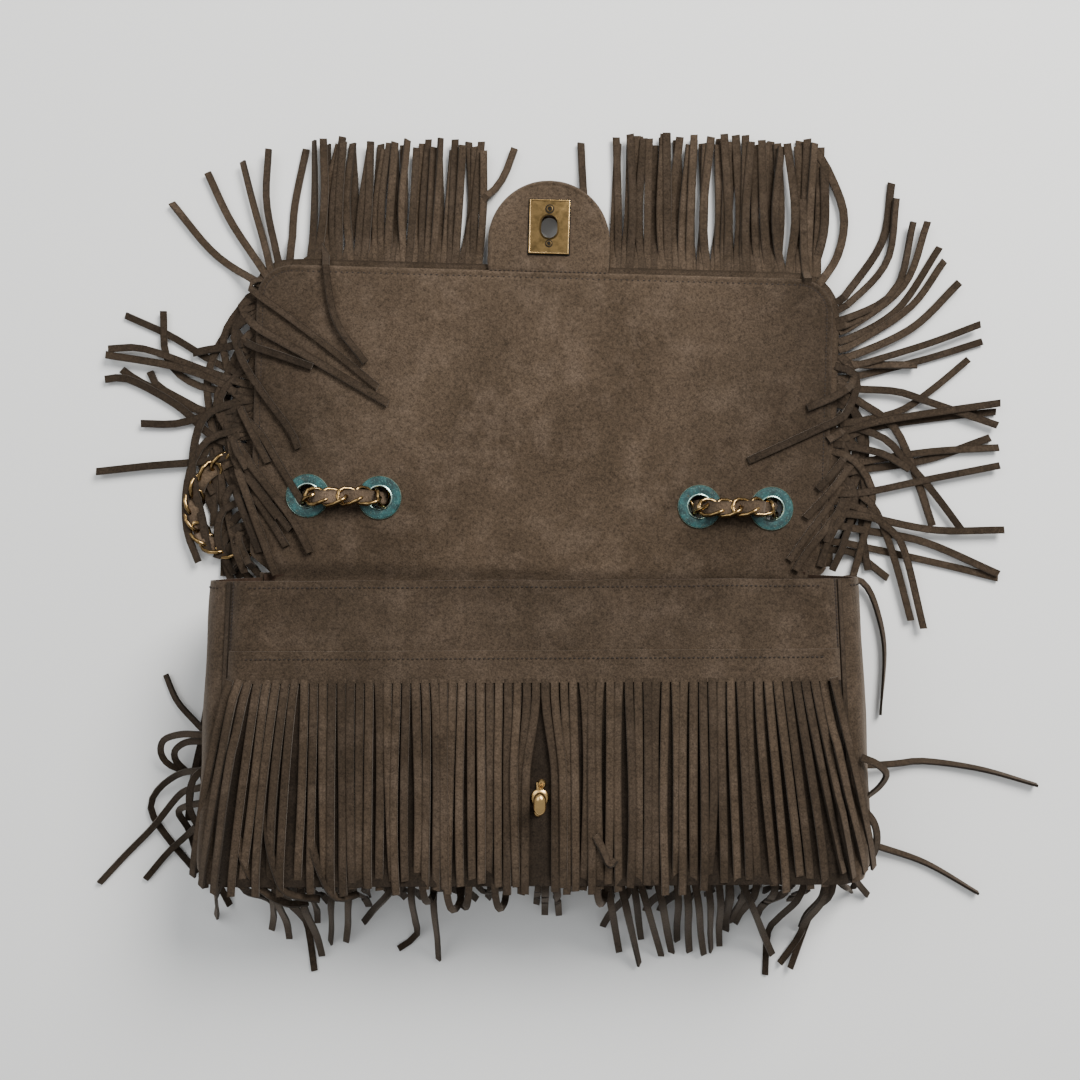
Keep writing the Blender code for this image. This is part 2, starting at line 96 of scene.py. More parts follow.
# ---------------------------------------------------------------- settings
class FringedBagSettings(bpy.types.PropertyGroup):
    suede_colour: FloatVectorProperty(
        name="Suede", description="Colour of the napped suede", subtype="COLOR", size=3, min=0, max=1,
        default=(0.088, 0.061, 0.040))
    suede_deep: FloatVectorProperty(
        name="Suede shade", description="Darker colour where the nap lies flat", subtype="COLOR", size=3, min=0,
        max=1, default=(0.050, 0.034, 0.021))
    suede_rubbed: FloatVectorProperty(
        name="Suede rubbed", description="Paler colour where the nap is rubbed", subtype="COLOR", size=3, min=0,
        max=1, default=(0.135, 0.098, 0.070))
    brass_colour: FloatVectorProperty(
        name="Brass", description="Colour of the clean brass", subtype="COLOR", size=3, min=0, max=1,
        default=(0.60, 0.39, 0.16))
    enamel_colour: FloatVectorProperty(
        name="Enamel", description="Colour of the eyelets' enamel", subtype="COLOR", size=3, min=0, max=1,
        default=(0.009, 0.058, 0.058))
    floor_colour: FloatVectorProperty(
        name="Floor", description="Colour of the studio floor", subtype="COLOR", size=3, min=0, max=1,
        default=(0.84, 0.84, 0.82))
    strip_width: FloatProperty(
        name="Strip width", description="Width of one cut strip of fringe", subtype="DISTANCE", unit="LENGTH",
        min=0.001, max=0.01, default=0.0034)
    strip_thickness: FloatProperty(
        name="Strip thickness", description="Thickness of the suede that the fringe is cut from", subtype="DISTANCE",
        unit="LENGTH", min=0.0005, max=0.003, default=0.0012)
    strip_pitch: FloatProperty(
        name="Strip pitch", description="Distance from one strip of the front fringe to the next", subtype="DISTANCE",
        unit="LENGTH", min=0.003, max=0.01, default=0.0041)
    stitch_pitch: FloatProperty(
        name="Stitch pitch", description="Distance from one stitch to the next", subtype="DISTANCE", unit="LENGTH",
        min=0.001, max=0.01, default=0.0021)
    chain_wire: FloatProperty(
        name="Chain wire", description="Thickness of the strap chain's wire", subtype="DISTANCE", unit="LENGTH",
        min=0.0005, max=0.003, default=0.0021)
    seed: IntProperty(name="Seed", description="Seed of the fringe's random lay", min=0, default=7)


def settings():
    return bpy.context.scene.fringed_bag


# ------------------------------------------------------------ mesh helpers
def mix(a, b, t):
    return a + (b - a) * t


def ease(t):
    t = min(1.0, max(0.0, t))
    return t * t * (3 - 2 * t)


def half_width(y):
    """Half the body's width at a place between its foot and its mouth."""
    return mix(HALF_FOOT, HALF_MOUTH, (y - FOOT_Y) / (MOUTH_Y - FOOT_Y))


def on_flap(w, u, z=0.0):
    """A place on the open flap from its width, reach and height."""
    return Vector((FOLD_X + w * cos(LEAN) + u * sin(LEAN), FOLD_Y - w * sin(LEAN) + u * cos(LEAN), z))


def flap_place(x, y):
    """The flap's own width and reach of a place on the floor."""
    x, y = x - FOLD_X, y - FOLD_Y
    return x * cos(LEAN) - y * sin(LEAN), x * sin(LEAN) + y * cos(LEAN)


def rim_distance(w, u):
    """How far a place lies inside the flap's rounded outline."""
    cw, cu = abs(w) - (FLAP_HALF - FLAP_CORNER), u - (FLAP_LENGTH - FLAP_CORNER)
    if cw > 0 and cu > 0:
        return FLAP_CORNER - hypot(cw, cu)
    return FLAP_CORNER - max(cw, cu)


def finish_piece(bm, name, finishes, body=None, replaces=(), crease=40):
    """Turns a bmesh into a finished piece. It rides on a body, if one is given."""
    bmesh.ops.recalc_face_normals(bm, faces=bm.faces)
    for edge in bm.edges:
        edge.smooth = len(edge.link_faces) == 2 and edge.calc_face_angle(0) < radians(crease)
    for face in bm.faces:
        face.smooth = True
    mesh = bpy.data.meshes.new(name)
    bm.to_mesh(mesh)
    bm.free()
    for finish in finishes:
        mesh.materials.append(finish)
    piece = bpy.data.objects.new(name, mesh)
    bpy.context.collection.objects.link(piece)
    if not len(mesh.polygons):
        raise RuntimeError(f"{name} has no faces")
    if body:
        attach(piece, body)
    if replaces:
        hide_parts(*replaces)
    return piece


def smooth_route(points, steps):
    """Evenly spaced places along a smooth curve through the given ones."""
    points = [Vector(p) for p in points]
    padded = [2 * points[0] - points[1], *points, 2 * points[-1] - points[-2]]
    fine = [points[0]]
    for a, b, c, d in zip(padded, padded[1:], padded[2:], padded[3:]):
        fine += interpolate_bezier(b, b + (c - a) / 6, c - (d - b) / 6, c, 9)[1:]
    reach = [0.0]
    for a, b in zip(fine, fine[1:]):
        reach.append(reach[-1] + (b - a).length)
    places, k = [], 0
    for i in range(steps + 1):
        want = reach[-1] * i / steps
        while k < len(fine) - 2 and reach[k + 1] < want:
            k += 1
        span = reach[k + 1] - reach[k] or 1e-9
        places.append(fine[k].lerp(fine[k + 1], (want - reach[k]) / span))
    return places


def along(places, t):
    """Place and direction at a share t of a list of even places."""
    k = min(len(places) - 2, int(t * (len(places) - 1)))
    f = t * (len(places) - 1) - k
    here = places[k].lerp(places[k + 1], f)
    ahead = places[min(k + 2, len(places) - 1)] - places[k + 1]
    behind = places[k + 1] - places[k]
    return here, behind.lerp((behind + ahead) / 2, f).normalized()


def cut_strip(bm, places, width, thick, turn=(0.0, 0.0), tone=0.5, bow=0.0, up=(0, 0, 1), notch=0.0):
    """One cut strip laid along even places, root first. turn is its twist at root and tip."""
    steps = len(places) - 1
    strip = bmesh.new()
    strip_tone_and_shade = strip.loops.layers.float_color.new("strip_tone_and_shade")
    lay = strip.loops.layers.uv.new("lay")
    made = bmesh.ops.create_cube(strip, size=1)["verts"]
    long_edges = {e for v in made for e in v.link_edges if abs(e.verts[0].co.y - e.verts[1].co.y) > 0.5}
    bmesh.ops.subdivide_edges(strip, edges=list(long_edges), cuts=steps - 1, use_grid_fill=True)
    length = sum((b - a).length for a, b in zip(places, places[1:]))
    offset = tone * 7.3
    for f in strip.faces:
        flat = f.calc_center_median()
        cut = 1.0 if abs(flat.x) > 0.49 or abs(flat.y) > 0.499 else 0.0
        for loop in f.loops:
            t = loop.vert.co.y + 0.5
            # Per strip tone, a flag for cut faces and the place across the strip: the suede shader turns these into
            # random tone and painted edge shade.
            loop[strip_tone_and_shade] = (tone, cut, loop.vert.co.x + 0.5, 1)
            loop[lay].uv = (loop.vert.co.x * width + offset, t * length)
    upright = Vector(up)
    for v in strip.verts:
        x, t, z = v.co.x, v.co.y + 0.5, v.co.z
        here, ahead = along(places, t)
        side = ahead.cross(upright)
        side = side.normalized() if side.length > 0.05 else Vector((1, 0, 0))
        top = side.cross(ahead).normalized()
        angle = mix(turn[0], turn[1], t)
        across = side * cos(angle) + top * sin(angle)
        through = top * cos(angle) - side * sin(angle)
        slim = width * (1 - 0.05 * t)
        v.co = here + across * x * slim + through * (z * thick + bow * (x * x * 4 - 0.33) * t)
        if notch and t > 0.999:
            v.co += ahead * x * notch
        v.co.z = max(v.co.z, LEAST_LEVEL)
    join_bmesh(bm, strip)


def join_bmesh(bm, part):
    """Adds a finished part to a piece."""
    mesh = bpy.data.meshes.new("part")
    bmesh.ops.recalc_face_normals(part, faces=part.faces)
    part.to_mesh(mesh)
    part.free()
    bm.from_mesh(mesh)
    bpy.data.meshes.remove(mesh)


def ring(bm, centre, profile, segments=32, material=0, closed=True):
    """A shape turned from (radius, height) places: a closed ring, or a solid that starts and ends on the axis."""
    part = bmesh.new()
    verts = [part.verts.new(Vector((r, 0, z))) for r, z in profile]
    ends = verts[1:] + verts[:1] if closed else verts[1:]
    edges = [part.edges.new(pair) for pair in zip(verts, ends)]
    bmesh.ops.spin(
        part, geom=verts + edges, cent=(0, 0, 0), axis=(0, 0, 1), angle=tau, steps=segments, use_merge=True)
    bmesh.ops.remove_doubles(part, verts=part.verts, dist=1e-6)
    for f in part.faces:
        f.material_index = material
    bmesh.ops.translate(part, vec=centre, verts=part.verts)
    join_bmesh(bm, part)


def stitch_row(bm, places, pitch, up=(0, 0, 1), length=0.64, girth=0.00075):
    """A row of small thread stitches along a line of places. length is a share of the pitch."""
    total = sum((b - a).length for a, b in zip(places, places[1:]))
    count = max(2, int(total / pitch))
    upright = Vector(up)
    for i in range(count):
        here, ahead = along(places, (i + 0.5) / count)
        side = ahead.cross(upright).normalized()
        top = side.cross(ahead).normalized()
        turned = Matrix((ahead, side, top)).transposed().to_4x4()
        size = Matrix.Diagonal((pitch * length / 2, girth / 2, girth * 0.42, 1))
        bmesh.ops.create_icosphere(bm, subdivisions=1, radius=1, matrix=Matrix.Translation(here) @ turned @ size)


# ----------------------------------------------------------------- finishes
def set_socket(socket, value):
    """Sets an input's own value. A colour of three numbers is made opaque."""
    opaque = hasattr(value, "__len__") and len(value) == 3 and socket.type == "RGBA"
    socket.default_value = (*value, 1) if opaque else value


def shader_node(tree, kind, **values):
    """Adds a node. Lower-case names set its options, in0, in1 ... its inputs by number, others its inputs by name."""
    node = tree.nodes.new("ShaderNode" + kind)
    for key, value in values.items():
        if key[0].islower() and not (key[:2] == "in" and key[2:].isdigit()):
            setattr(node, key, value)
    for key, value in values.items():
        if key[0].isupper() or (key[:2] == "in" and key[2:].isdigit()):
            socket = node.inputs[int(key[2:])] if key[0] == "i" else node.inputs[key.replace("_", " ")]
            if isinstance(value, bpy.types.NodeSocket):
                tree.links.new(value, socket)
            else:
                set_socket(socket, value)
    return node


def cloud(tree, where, scale, detail=4, rough=0.55, seed=0.0):
    """Fractal noise from 0 to 1."""
    moved = shader_node(tree, "Mapping", Vector=where, Location=(seed, seed * 1.7, -seed)).outputs[0]
    return shader_node(tree, "TexNoise", Vector=moved, Scale=scale, Detail=detail, Roughness=rough).outputs[0]


def spread(tree, value, low, high, to_low=0.0, to_high=1.0):
    """Stretches a value between two levels."""
    return shader_node(
        tree, "MapRange", Value=value, From_Min=low, From_Max=high, To_Min=to_low, To_Max=to_high).outputs[0]


def blend_colours(tree, share, a, b, how="MIX"):
    """From colour a to colour b by a share."""
    return shader_node(tree, "Mix", data_type="RGBA", blend_type=how, in0=share, in6=a, in7=b).outputs[2]


def dim(tree, colour, share):
    """Multiplies a colour by a value."""
    grey = shader_node(tree, "CombineColor", Red=share, Green=share, Blue=share).outputs[0]
    return blend_colours(tree, 1.0, colour, grey, "MULTIPLY")


def maths(tree, how, a, b=0.0):
    """One step of arithmetic on values."""
    return shader_node(tree, "Math", operation=how, in0=a, in1=b).outputs[0]


def new_finish(name, **sockets):
    """A material whose even values are set on the shader's own sockets."""
    finish = bpy.data.materials.new(name)
    finish.use_nodes = True
    tree = finish.node_tree
    shader = tree.nodes["Principled BSDF"]
    for key, value in sockets.items():
        set_socket(shader.inputs[key.replace("_", " ")], value)
    where = shader_node(tree, "TexCoord").outputs["Object"]
    return finish, tree, shader, where


def suede_finish(name, strip=False, lift=1.0, seed=0.0, side_shade=0.0):
    """Napped suede: soft mottling, rubbed patches and short fibres.

    On strips the tone changes from one to the next; cut faces and long edges are darker, partly cut suede, partly
    painted shade. The last argument paints shade on a panel's far sides.
    """
    p = settings()
    base, deep, rubbed = ([c * lift for c in colour] for colour in (p.suede_colour, p.suede_deep, p.suede_rubbed))
    finish, tree, shader, where = new_finish(
        name, Roughness=0.95, Specular_IOR_Level=0.12, Sheen_Weight=0.22, Sheen_Roughness=0.45,
        Sheen_Tint=(0.85, 0.72, 0.60))
    drift = cloud(tree, where, 16, 5, 0.62, seed)
    patch = cloud(tree, where, 58, 5, 0.68, seed + 3)
    speck = cloud(tree, where, 520, 4, 0.7, seed + 5)
    fibre = cloud(tree, where, 1250, 3, 0.75, seed + 9)
    colour = blend_colours(tree, spread(tree, drift, 0.36, 0.66), deep, base)
    colour = blend_colours(tree, spread(tree, patch, 0.47, 0.76, 0, 0.62), colour, rubbed)
    colour = blend_colours(tree, spread(tree, speck, 0.56, 0.80, 0, 0.50), colour, deep)
    nap = spread(
        tree, maths(tree, "ADD", maths(tree, "MULTIPLY", fibre, 0.6), maths(tree, "MULTIPLY", speck, 0.4)), 0.36,
        0.66, 0.44, 1.56)
    colour = dim(tree, colour, nap)
    # Painted shade: the panel darkens towards its far sides, where the light falls off.
    if side_shade:
        beside = maths(tree, "ABSOLUTE", shader_node(tree, "SeparateXYZ", Vector=where).outputs[0])
        shade = spread(tree, beside, 0.05, 0.145, 1.0, 1.0 - side_shade)
        colour = dim(tree, colour, shade)
    if strip:
        strip_tone_and_shade = shader_node(tree, "Attribute", attribute_name="strip_tone_and_shade").outputs["Color"]
        parts = shader_node(tree, "SeparateColor", Color=strip_tone_and_shade).outputs
        tone = spread(tree, parts[0], 0, 1, 0.72, 1.18)
        colour = dim(tree, colour, tone)
        lay = shader_node(tree, "UVMap", uv_map="lay").outputs[0]
        streak = shader_node(
            tree, "TexNoise", Vector=shader_node(tree, "Mapping", Vector=lay, Scale=(1100, 70, 1)).outputs[0],
            Scale=1.0, Detail=3).outputs[0]
        colour = blend_colours(tree, spread(tree, streak, 0.45, 0.75, 0, 0.35), colour, deep)
        # Painted shade: each strip darkens towards its long edges, standing in for the shading of a rounded edge.
        across = maths(tree, "ABSOLUTE", maths(tree, "SUBTRACT", parts[2], 0.5))
        colour = blend_colours(tree, spread(tree, across, 0.30, 0.5, 0, 0.62), colour, [c * 0.5 for c in deep])
        # Cut faces are darker: partly the darker cut suede, partly painted shade in the gaps between strips.
        colour = blend_colours(tree, maths(tree, "MULTIPLY", parts[1], 0.85), colour, [c * 0.38 for c in deep])
    height = maths(tree, "ADD", maths(tree, "MULTIPLY", fibre, 0.65), maths(tree, "MULTIPLY", speck, 0.8))
    bump = shader_node(tree, "Bump", Strength=0.65, Distance=0.00045, Height=height).outputs[0]
    tree.links.new(colour, shader.inputs["Base Color"])
    tree.links.new(spread(tree, patch, 0.3, 0.7, 0.86, 1.0), shader.inputs["Roughness"])
    tree.links.new(bump, shader.inputs["Normal"])
    return finish


def brass_finish(name, colour, tarnish, rough=(0.20, 0.42), amount=0.6, scale=260, seed=0.0):
    """Aged brass: bright where it is rubbed, browner and duller between, with fine scratches."""
    finish, tree, shader, where = new_finish(name, Metallic=1.0, Roughness=0.3)
    age = cloud(tree, where, scale, 6, 0.65, seed)
    pits = cloud(tree, where, scale * 7, 3, 0.6, seed + 2)
    scratch = shader_node(
        tree, "TexNoise",
        Vector=shader_node(tree, "Mapping", Vector=where, Rotation=(0, 0, 0.6), Scale=(500, 6500, 500)).outputs[0],
        Scale=1.0, Detail=2).outputs[0]
    shade = spread(tree, age, 0.42, 0.68, 0, amount)
    tint = blend_colours(tree, shade, colour, tarnish)
    tint = blend_colours(tree, spread(tree, pits, 0.60, 0.78, 0, 0.45), tint, [c * 0.5 for c in tarnish])
    tree.links.new(tint, shader.inputs["Base Color"])
    tree.links.new(spread(tree, age, 0.35, 0.70, *rough), shader.inputs["Roughness"])
    height = maths(tree, "ADD", maths(tree, "MULTIPLY", scratch, 0.5), pits)
    tree.links.new(
        shader_node(tree, "Bump", Strength=0.25, Distance=0.00012, Height=height).outputs[0], shader.inputs["Normal"])
    return finish


def enamel_finish(name):
    """Blue-green enamel with a crazed, patinated face."""
    p = settings()
    teal = list(p.enamel_colour)
    finish, tree, shader, where = new_finish(
        name, Roughness=0.5, Coat_Weight=0.2, Coat_Roughness=0.3, Specular_IOR_Level=0.4)
    drift = cloud(tree, where, 190, 5, 0.65)
    speck = cloud(tree, where, 1300, 4, 0.7, 4)
    colour = blend_colours(tree, spread(tree, drift, 0.40, 0.66), [c * 0.40 for c in teal], [c * 1.40 for c in teal])
    colour = blend_colours(tree, spread(tree, speck, 0.55, 0.66, 0, 0.8), colour, (0.075, 0.19, 0.17))
    colour = blend_colours(
        tree, spread(tree, cloud(tree, where, 700, 3, 0.6, 8), 0.60, 0.72, 0, 0.55), colour, (0.07, 0.06, 0.03))
    tree.links.new(colour, shader.inputs["Base Color"])
    tree.links.new(spread(tree, speck, 0.3, 0.7, 0.30, 0.62), shader.inputs["Roughness"])
    tree.links.new(
        shader_node(tree, "Bump", Strength=0.3, Distance=0.0002, Height=speck).outputs[0], shader.inputs["Normal"])
    return finish


def grain_finish(name, colour, deep, rough=0.62, scale=900, coat=0.0):
    """Smooth leather or twisted thread, with a fine grain."""
    finish, tree, shader, where = new_finish(
        name, Roughness=rough, Specular_IOR_Level=0.35, Coat_Weight=coat, Coat_Roughness=0.4)
    grain = shader_node(tree, "TexVoronoi", Vector=where, Scale=scale, feature="F1").outputs["Distance"]
    drift = cloud(tree, where, 45, 4, 0.6)
    tint = blend_colours(tree, spread(tree, drift, 0.38, 0.66), deep, colour)
    tint = blend_colours(tree, spread(tree, grain, 0.35, 0.75, 0, 0.5), tint, [c * 0.55 for c in deep])
    tree.links.new(tint, shader.inputs["Base Color"])
    tree.links.new(spread(tree, drift, 0.3, 0.7, rough - 0.1, rough + 0.1), shader.inputs["Roughness"])
    tree.links.new(
        shader_node(tree, "Bump", Strength=0.4, Distance=0.0002, Height=grain).outputs[0], shader.inputs["Normal"])
    return finish


FINISHES = {}


def finish_of(name):
    """The bag's own finishes, made once each."""
    if name not in FINISHES:
        p = settings()
        brass = list(p.brass_colour)
        FINISHES[name] = {
            "suede panel": lambda: suede_finish("suede panel", lift=0.93, side_shade=0.42),
            "suede tab": lambda: suede_finish("suede tab", lift=0.90, seed=2),
            "suede front": lambda: suede_finish("suede front", lift=0.67, seed=21),
            # Darker copy of the front suede for the panel under the strips: painted shade.
            "suede painted shade": lambda: suede_finish("suede painted shade", lift=0.26, seed=5),
            "suede strip": lambda: suede_finish("suede strip", strip=True, lift=0.74, seed=13),
            "suede dark strip": lambda: suede_finish("suede dark strip", strip=True, lift=0.52, seed=17),
            "suede lace": lambda: suede_finish("suede lace", strip=True, lift=1.45, seed=31),
            "thread": lambda: grain_finish("thread", (0.026, 0.017, 0.011), (0.014, 0.009, 0.006), 0.8, 2600),
            "lining leather": lambda: grain_finish(
                "lining leather", (0.075, 0.045, 0.030), (0.045, 0.027, 0.018), 0.5, 700, 0.1),
            "plate brass": lambda: brass_finish(
                "plate brass", [c * 0.205 for c in brass], (0.048, 0.033, 0.013), (0.40, 0.62), 0.75, 330),
            "rim brass": lambda: brass_finish(
                "rim brass", [c * 0.92 for c in brass], (0.34, 0.21, 0.09), (0.16, 0.32), 0.4, 300, 3),
            "chain brass": lambda: brass_finish(
                "chain brass", [c * 0.55 for c in brass], (0.075, 0.042, 0.016), (0.13, 0.28), 0.9, 260, 6),
            "eyelet rim": lambda: brass_finish(
                "eyelet rim", (0.55, 0.74, 0.66), (0.05, 0.16, 0.14), (0.25, 0.45), 0.8, 420, 9),
            "enamel": lambda: enamel_finish("enamel"),
            # Near black, used only as painted shade: rivet hollows, the rings round them and the frame round the lock
            # plate.
            "painted shade black": lambda: grain_finish(
                "painted shade black", (0.010, 0.008, 0.006), (0.006, 0.005, 0.004), 0.9, 900),
        }[name]()
    return FINISHES[name]


# ------------------------------------------------------------------- stage
class FRINGEDBAG_OT_stage(bpy.types.Operator):
    """Camera, soft studio light and a plain pale floor"""
    bl_idname = "fringed_bag.stage"
    bl_label = "Stage"

    def execute(self, context):
        scene = context.scene
        lens = bpy.data.cameras.new("camera")
        lens.lens, lens.sensor_width, lens.clip_start = 40.93, 36, 0.01
        camera = bpy.data.objects.new("camera", lens)
        camera.location = (0.0026, 0.085, 0.614)
        scene.collection.objects.link(camera)
        scene.camera = camera

        finish, tree, shader, where = new_finish("floor", Roughness=0.75, Specular_IOR_Level=0.2)
        tone = list(settings().floor_colour)
        tree.links.new(
            blend_colours(tree, cloud(tree, where, 1.5, 3), [c * 0.975 for c in tone], tone),
            shader.inputs["Base Color"])
        bm = bmesh.new()
        bmesh.ops.create_grid(bm, x_segments=4, y_segments=4, size=3)
        mesh = bpy.data.meshes.new("floor")
        bm.to_mesh(mesh)
        bm.free()
        mesh.materials.append(finish)
        floor = bpy.data.objects.new("floor", mesh)
        scene.collection.objects.link(floor)

        for name, place, size, power, tint in (
            ("window light", (0.72, 1.10, 1.15), 0.9, 46, (1.0, 0.985, 0.965)),
            ("fill light", (-0.9, 0.9, 1.5), 1.4, 12, (0.96, 0.98, 1.0)),
        ):
            lamp = bpy.data.lights.new(name, "AREA")
            lamp.shape, lamp.size, lamp.energy, lamp.color = "DISK", size, power, tint
            light = bpy.data.objects.new(name, lamp)
            light.location = place
            light.rotation_euler = (Vector((0, 0.08, 0)) - Vector(place)).to_track_quat("-Z", "Y").to_euler()
            scene.collection.objects.link(light)
        world = bpy.data.worlds.new("studio")
        world.use_nodes = True
        world.node_tree.nodes["Background"].inputs["Color"].default_value = (0.95, 0.97, 1.0, 1)
        world.node_tree.nodes["Background"].inputs["Strength"].default_value = 0.56
        scene.world = world
        return {"FINISHED"}


# -------------------------------------------------------------------- body
def tilt(place):
    """The body lies a touch askew on the floor."""
    x, y, z = place
    return (x, y + BODY_TILT * x, z)


def sag(x, y):
    """Slow waves of the padded front."""
    return 0.0007 * noise.noise(Vector((x * 22, y * 22, 3.1)))


def front_place(s, t, inward=0.0):
    """The padded front face, rolled down at its seams."""
    y = mix(FOOT_Y, MOUTH_Y, (t + 1) / 2)
    half = half_width(y) - inward
    x = s * half
    near = min(half - abs(x), y - FOOT_Y + 0.004)
    roll = 0.0040 * (1 - ease(near / 0.006)) ** 1.5
    swell = 0.0004 * cos(s * pi / 2) * cos(t * pi / 2)
    return tilt((
        x, y + 0.0006 * noise.noise(Vector((x * 30, 0, 7))) * ease((t - 0.6) / 0.4),
        FACE_Z - inward + swell - roll + sag(x, y)))


def back_place(s, t, inward=0.0):
    """The flat back, which turns up at its sides and towards the flap."""
    y = mix(FOOT_Y, MOUTH_Y + 0.0025, (t + 1) / 2)
    half = half_width(y) - inward
    near = half - abs(s * half)
    return tilt((
        s * half, y, BACK_Z + inward + 0.0030 * (1 - ease(near / 0.008)) ** 1.5 + 0.0046 * ease((y - 0.056) / 0.015)))


def side_profile(y, h, side):
    """Reach and height of the soft side wall at a share h of the way from back to front."""
    belly = sin(pi * h ** 1.7) ** 0.6 if 0 < h < 1 else 0.0
    crush = 0.0022 * noise.noise(Vector((h * 2.6, y * 26, side * 4.0)))
    x = half_width(y) - 0.0012 + (GUSSET_SWELL * 1.6 * (1 - 0.06 * ease((y - 0.03) / 0.045)) + crush) * belly
    return x, mix(0.0042, FACE_Z - 0.0042, h) + 0.0030 * sin(pi * min(1.0, (1 - h) / 0.20))


def gusset_place(side, s, t, inward=0.0):
    """The soft side wall: s runs from back to front, t from foot to mouth. It rounds in towards the foot."""
    y = mix(FOOT_Y, MOUTH_Y, (t + 1) / 2)
    x, z = side_profile(y, (s + 1) / 2, side)
    x -= 0.0030 * (1 - ease((y - FOOT_Y) / 0.010)) ** 2
    return tilt((side * (x - inward), y, z))


def foot_place(s, t, inward=0.0):
    """The bottom panel between back and front, as wide as the side walls that it meets."""
    h = (t + 1) / 2
    belly = sin(pi * h) ** 0.7 if 0 < h < 1 else 0.0
    x, z = side_profile(FOOT_Y, h, -1 if s < 0 else 1)
    y = FOOT_Y - FOOT_SWELL * belly * (1 - s ** 8) + 0.001 * (1 - s ** 8) + inward
    return tilt((s * (x - 0.0030), y, z))


def outward(bm, verts, toward):
    """Turns a panel's faces so that they look along toward, before it gets a wall."""
    faces = list({f for v in verts for f in v.link_faces})
    for f in faces:
        f.normal_update()
    if sum((f.normal.dot(Vector(toward)) * f.calc_area() for f in faces), 0.0) < 0:
        bmesh.ops.reverse_faces(bm, faces=faces)
    return faces


def walled_panel(bm, columns, rows, place, toward, wall):
    """A grid laid over a surface by place(s, t), both from -1 to 1.

    Its thickness is on the side away from toward.
    """
    verts = bmesh.ops.create_grid(bm, x_segments=columns, y_segments=rows, size=1)["verts"]
    for v in verts:
        v.co = Vector(place(v.co.x, v.co.y))
    faces = outward(bm, verts, toward)
    depth = sum((f.normal for f in faces), Vector()).normalized()
    start = sum((v.co for v in verts), Vector()) / len(verts)
    grown = bmesh.ops.solidify(bm, geom=faces, thickness=wall)["geom"]
    new = [v for v in grown if isinstance(v, bmesh.types.BMVert)]
    middle = sum((v.co for v in new), Vector()) / max(1, len(new))
    if (middle - start).dot(depth) > 0:
        shift = -depth * wall
        for v in {*verts, *new}:
            v.co += shift


class FRINGEDBAG_OT_body(bpy.types.Operator):
    """Sewn suede body: padded front, soft gussets, bottom, back and the leather pocket inside"""
    bl_idname = "fringed_bag.body"
    bl_label = "Body"

    def execute(self, context):
        for name, node, columns, rows, place, toward, finish in (
            ("bag_front", "front_panel", 90, 48, front_place, (0, 0, 1), "suede front"),
            ("bag_back", "back_panel", 60, 40, back_place, (0, 0, -1), "suede panel"),
            (
                "bag_gusset_left", "gusset_left", 20, 44, lambda s, t: gusset_place(-1, s, t), (-1, 0, 0),
                "suede front"),
            (
                "bag_gusset_right", "gusset_right", 20, 44, lambda s, t: gusset_place(1, s, t), (1, 0, 0),
                "suede front"),
            ("bag_bottom", "bottom_panel", 60, 14, foot_place, (0, -1, 0), "suede panel"),
        ):
            bm = bmesh.new()
            walled_panel(bm, columns, rows, place, toward, 0.0014)
            for f in bm.faces:
                # The front's faces under its fringe get the darker suede: painted shade under the strips.
                f.material_index = int(name == "bag_front" and f.calc_center_median().y < 0.022)
            finish_piece(
                bm, name, [finish_of(finish), finish_of("suede painted shade")][:2 if name == "bag_front" else 1],
                "bag_body", [node], crease=55)
        bm = bmesh.new()
        walled_panel(bm, 50, 30, lambda s, t: front_place(s * 0.995, t, 0.0022), (0, 0, -1), 0.0006)
        walled_panel(bm, 50, 30, lambda s, t: back_place(s * 0.995, t * 0.985, 0.0018), (0, 0, 1), 0.0006)
        for side in (-1, 1):
            walled_panel(
                bm, 16, 30, lambda s, t: gusset_place(side, s * 0.885 - 0.045, t, 0.0022), (-side, 0, 0), 0.0006)
        walled_panel(bm, 40, 12, lambda s, t: foot_place(s, t * 0.93, 0.0022), (0, 1, 0), 0.0006)
        finish_piece(bm, "bag_lining", [finish_of("lining leather")], "bag_body", ["lining"], crease=55)

        bm = bmesh.new()
        pitch = settings().stitch_pitch
        steps = [i / 20 - 1 for i in range(1, 40)]
        lift = Vector((0, 0, 0.00015))
        for inset in (0.0030, 0.0345):
            t = (MOUTH_Y - inset - FOOT_Y) / (MOUTH_Y - FOOT_Y) * 2 - 1
            raised = Vector((0, 0, HEADER_LIFT if inset > 0.03 else 0.0))
            stitch_row(bm, [Vector(front_place(s * 0.985, t)) + lift + raised for s in steps], pitch)
        for side in (-1, 1):
            stitch_row(
                bm, [Vector(front_place(side * 0.986, i / 12 - 1)) + lift for i in range(25)], pitch * 0.8,
                length=1.10, girth=0.0013)
            stitch_row(
                bm, [Vector(gusset_place(side, s, 0.956)) + Vector((side * 0.0002, 0, 0)) for s in steps[4:-1]],
                pitch, up=(side, 0, 0.3))
        finish_piece(bm, "body_stitching", [finish_of("thread")], "bag_body")

        # A narrow welt is sewn into the seam between the front and each side wall.
        bm = bmesh.new()
        for side in (-1, 1):
            seam = [
                Vector(tilt((side * (half_width(y) + 0.0002), y, FACE_Z - 0.0042)))
                for y in (mix(FOOT_Y, MOUTH_Y - 0.0003, i / 24) for i in range(25))]
            cut_strip(bm, seam, 0.0024, 0.0020, tone=0.5, up=(side * 0.5, 0, 1))
        finish_piece(bm, "seam_welts", [finish_of("suede dark strip")], "bag_body", crease=60)
        return {"FINISHED"}


# ------------------------------------------------------------ front fringe
def front_shift(x):
    """How far a front strip's tip leans sideways: the outer ones splay off the bag's sides."""
    lean = 0.0
    if x > 0.072:
        lean += 0.025 * ((x - 0.072) / 0.064) ** 1.5
    if x < -0.088:
        lean -= 0.023 * ((-0.088 - x) / 0.048) ** 1.4
    return lean


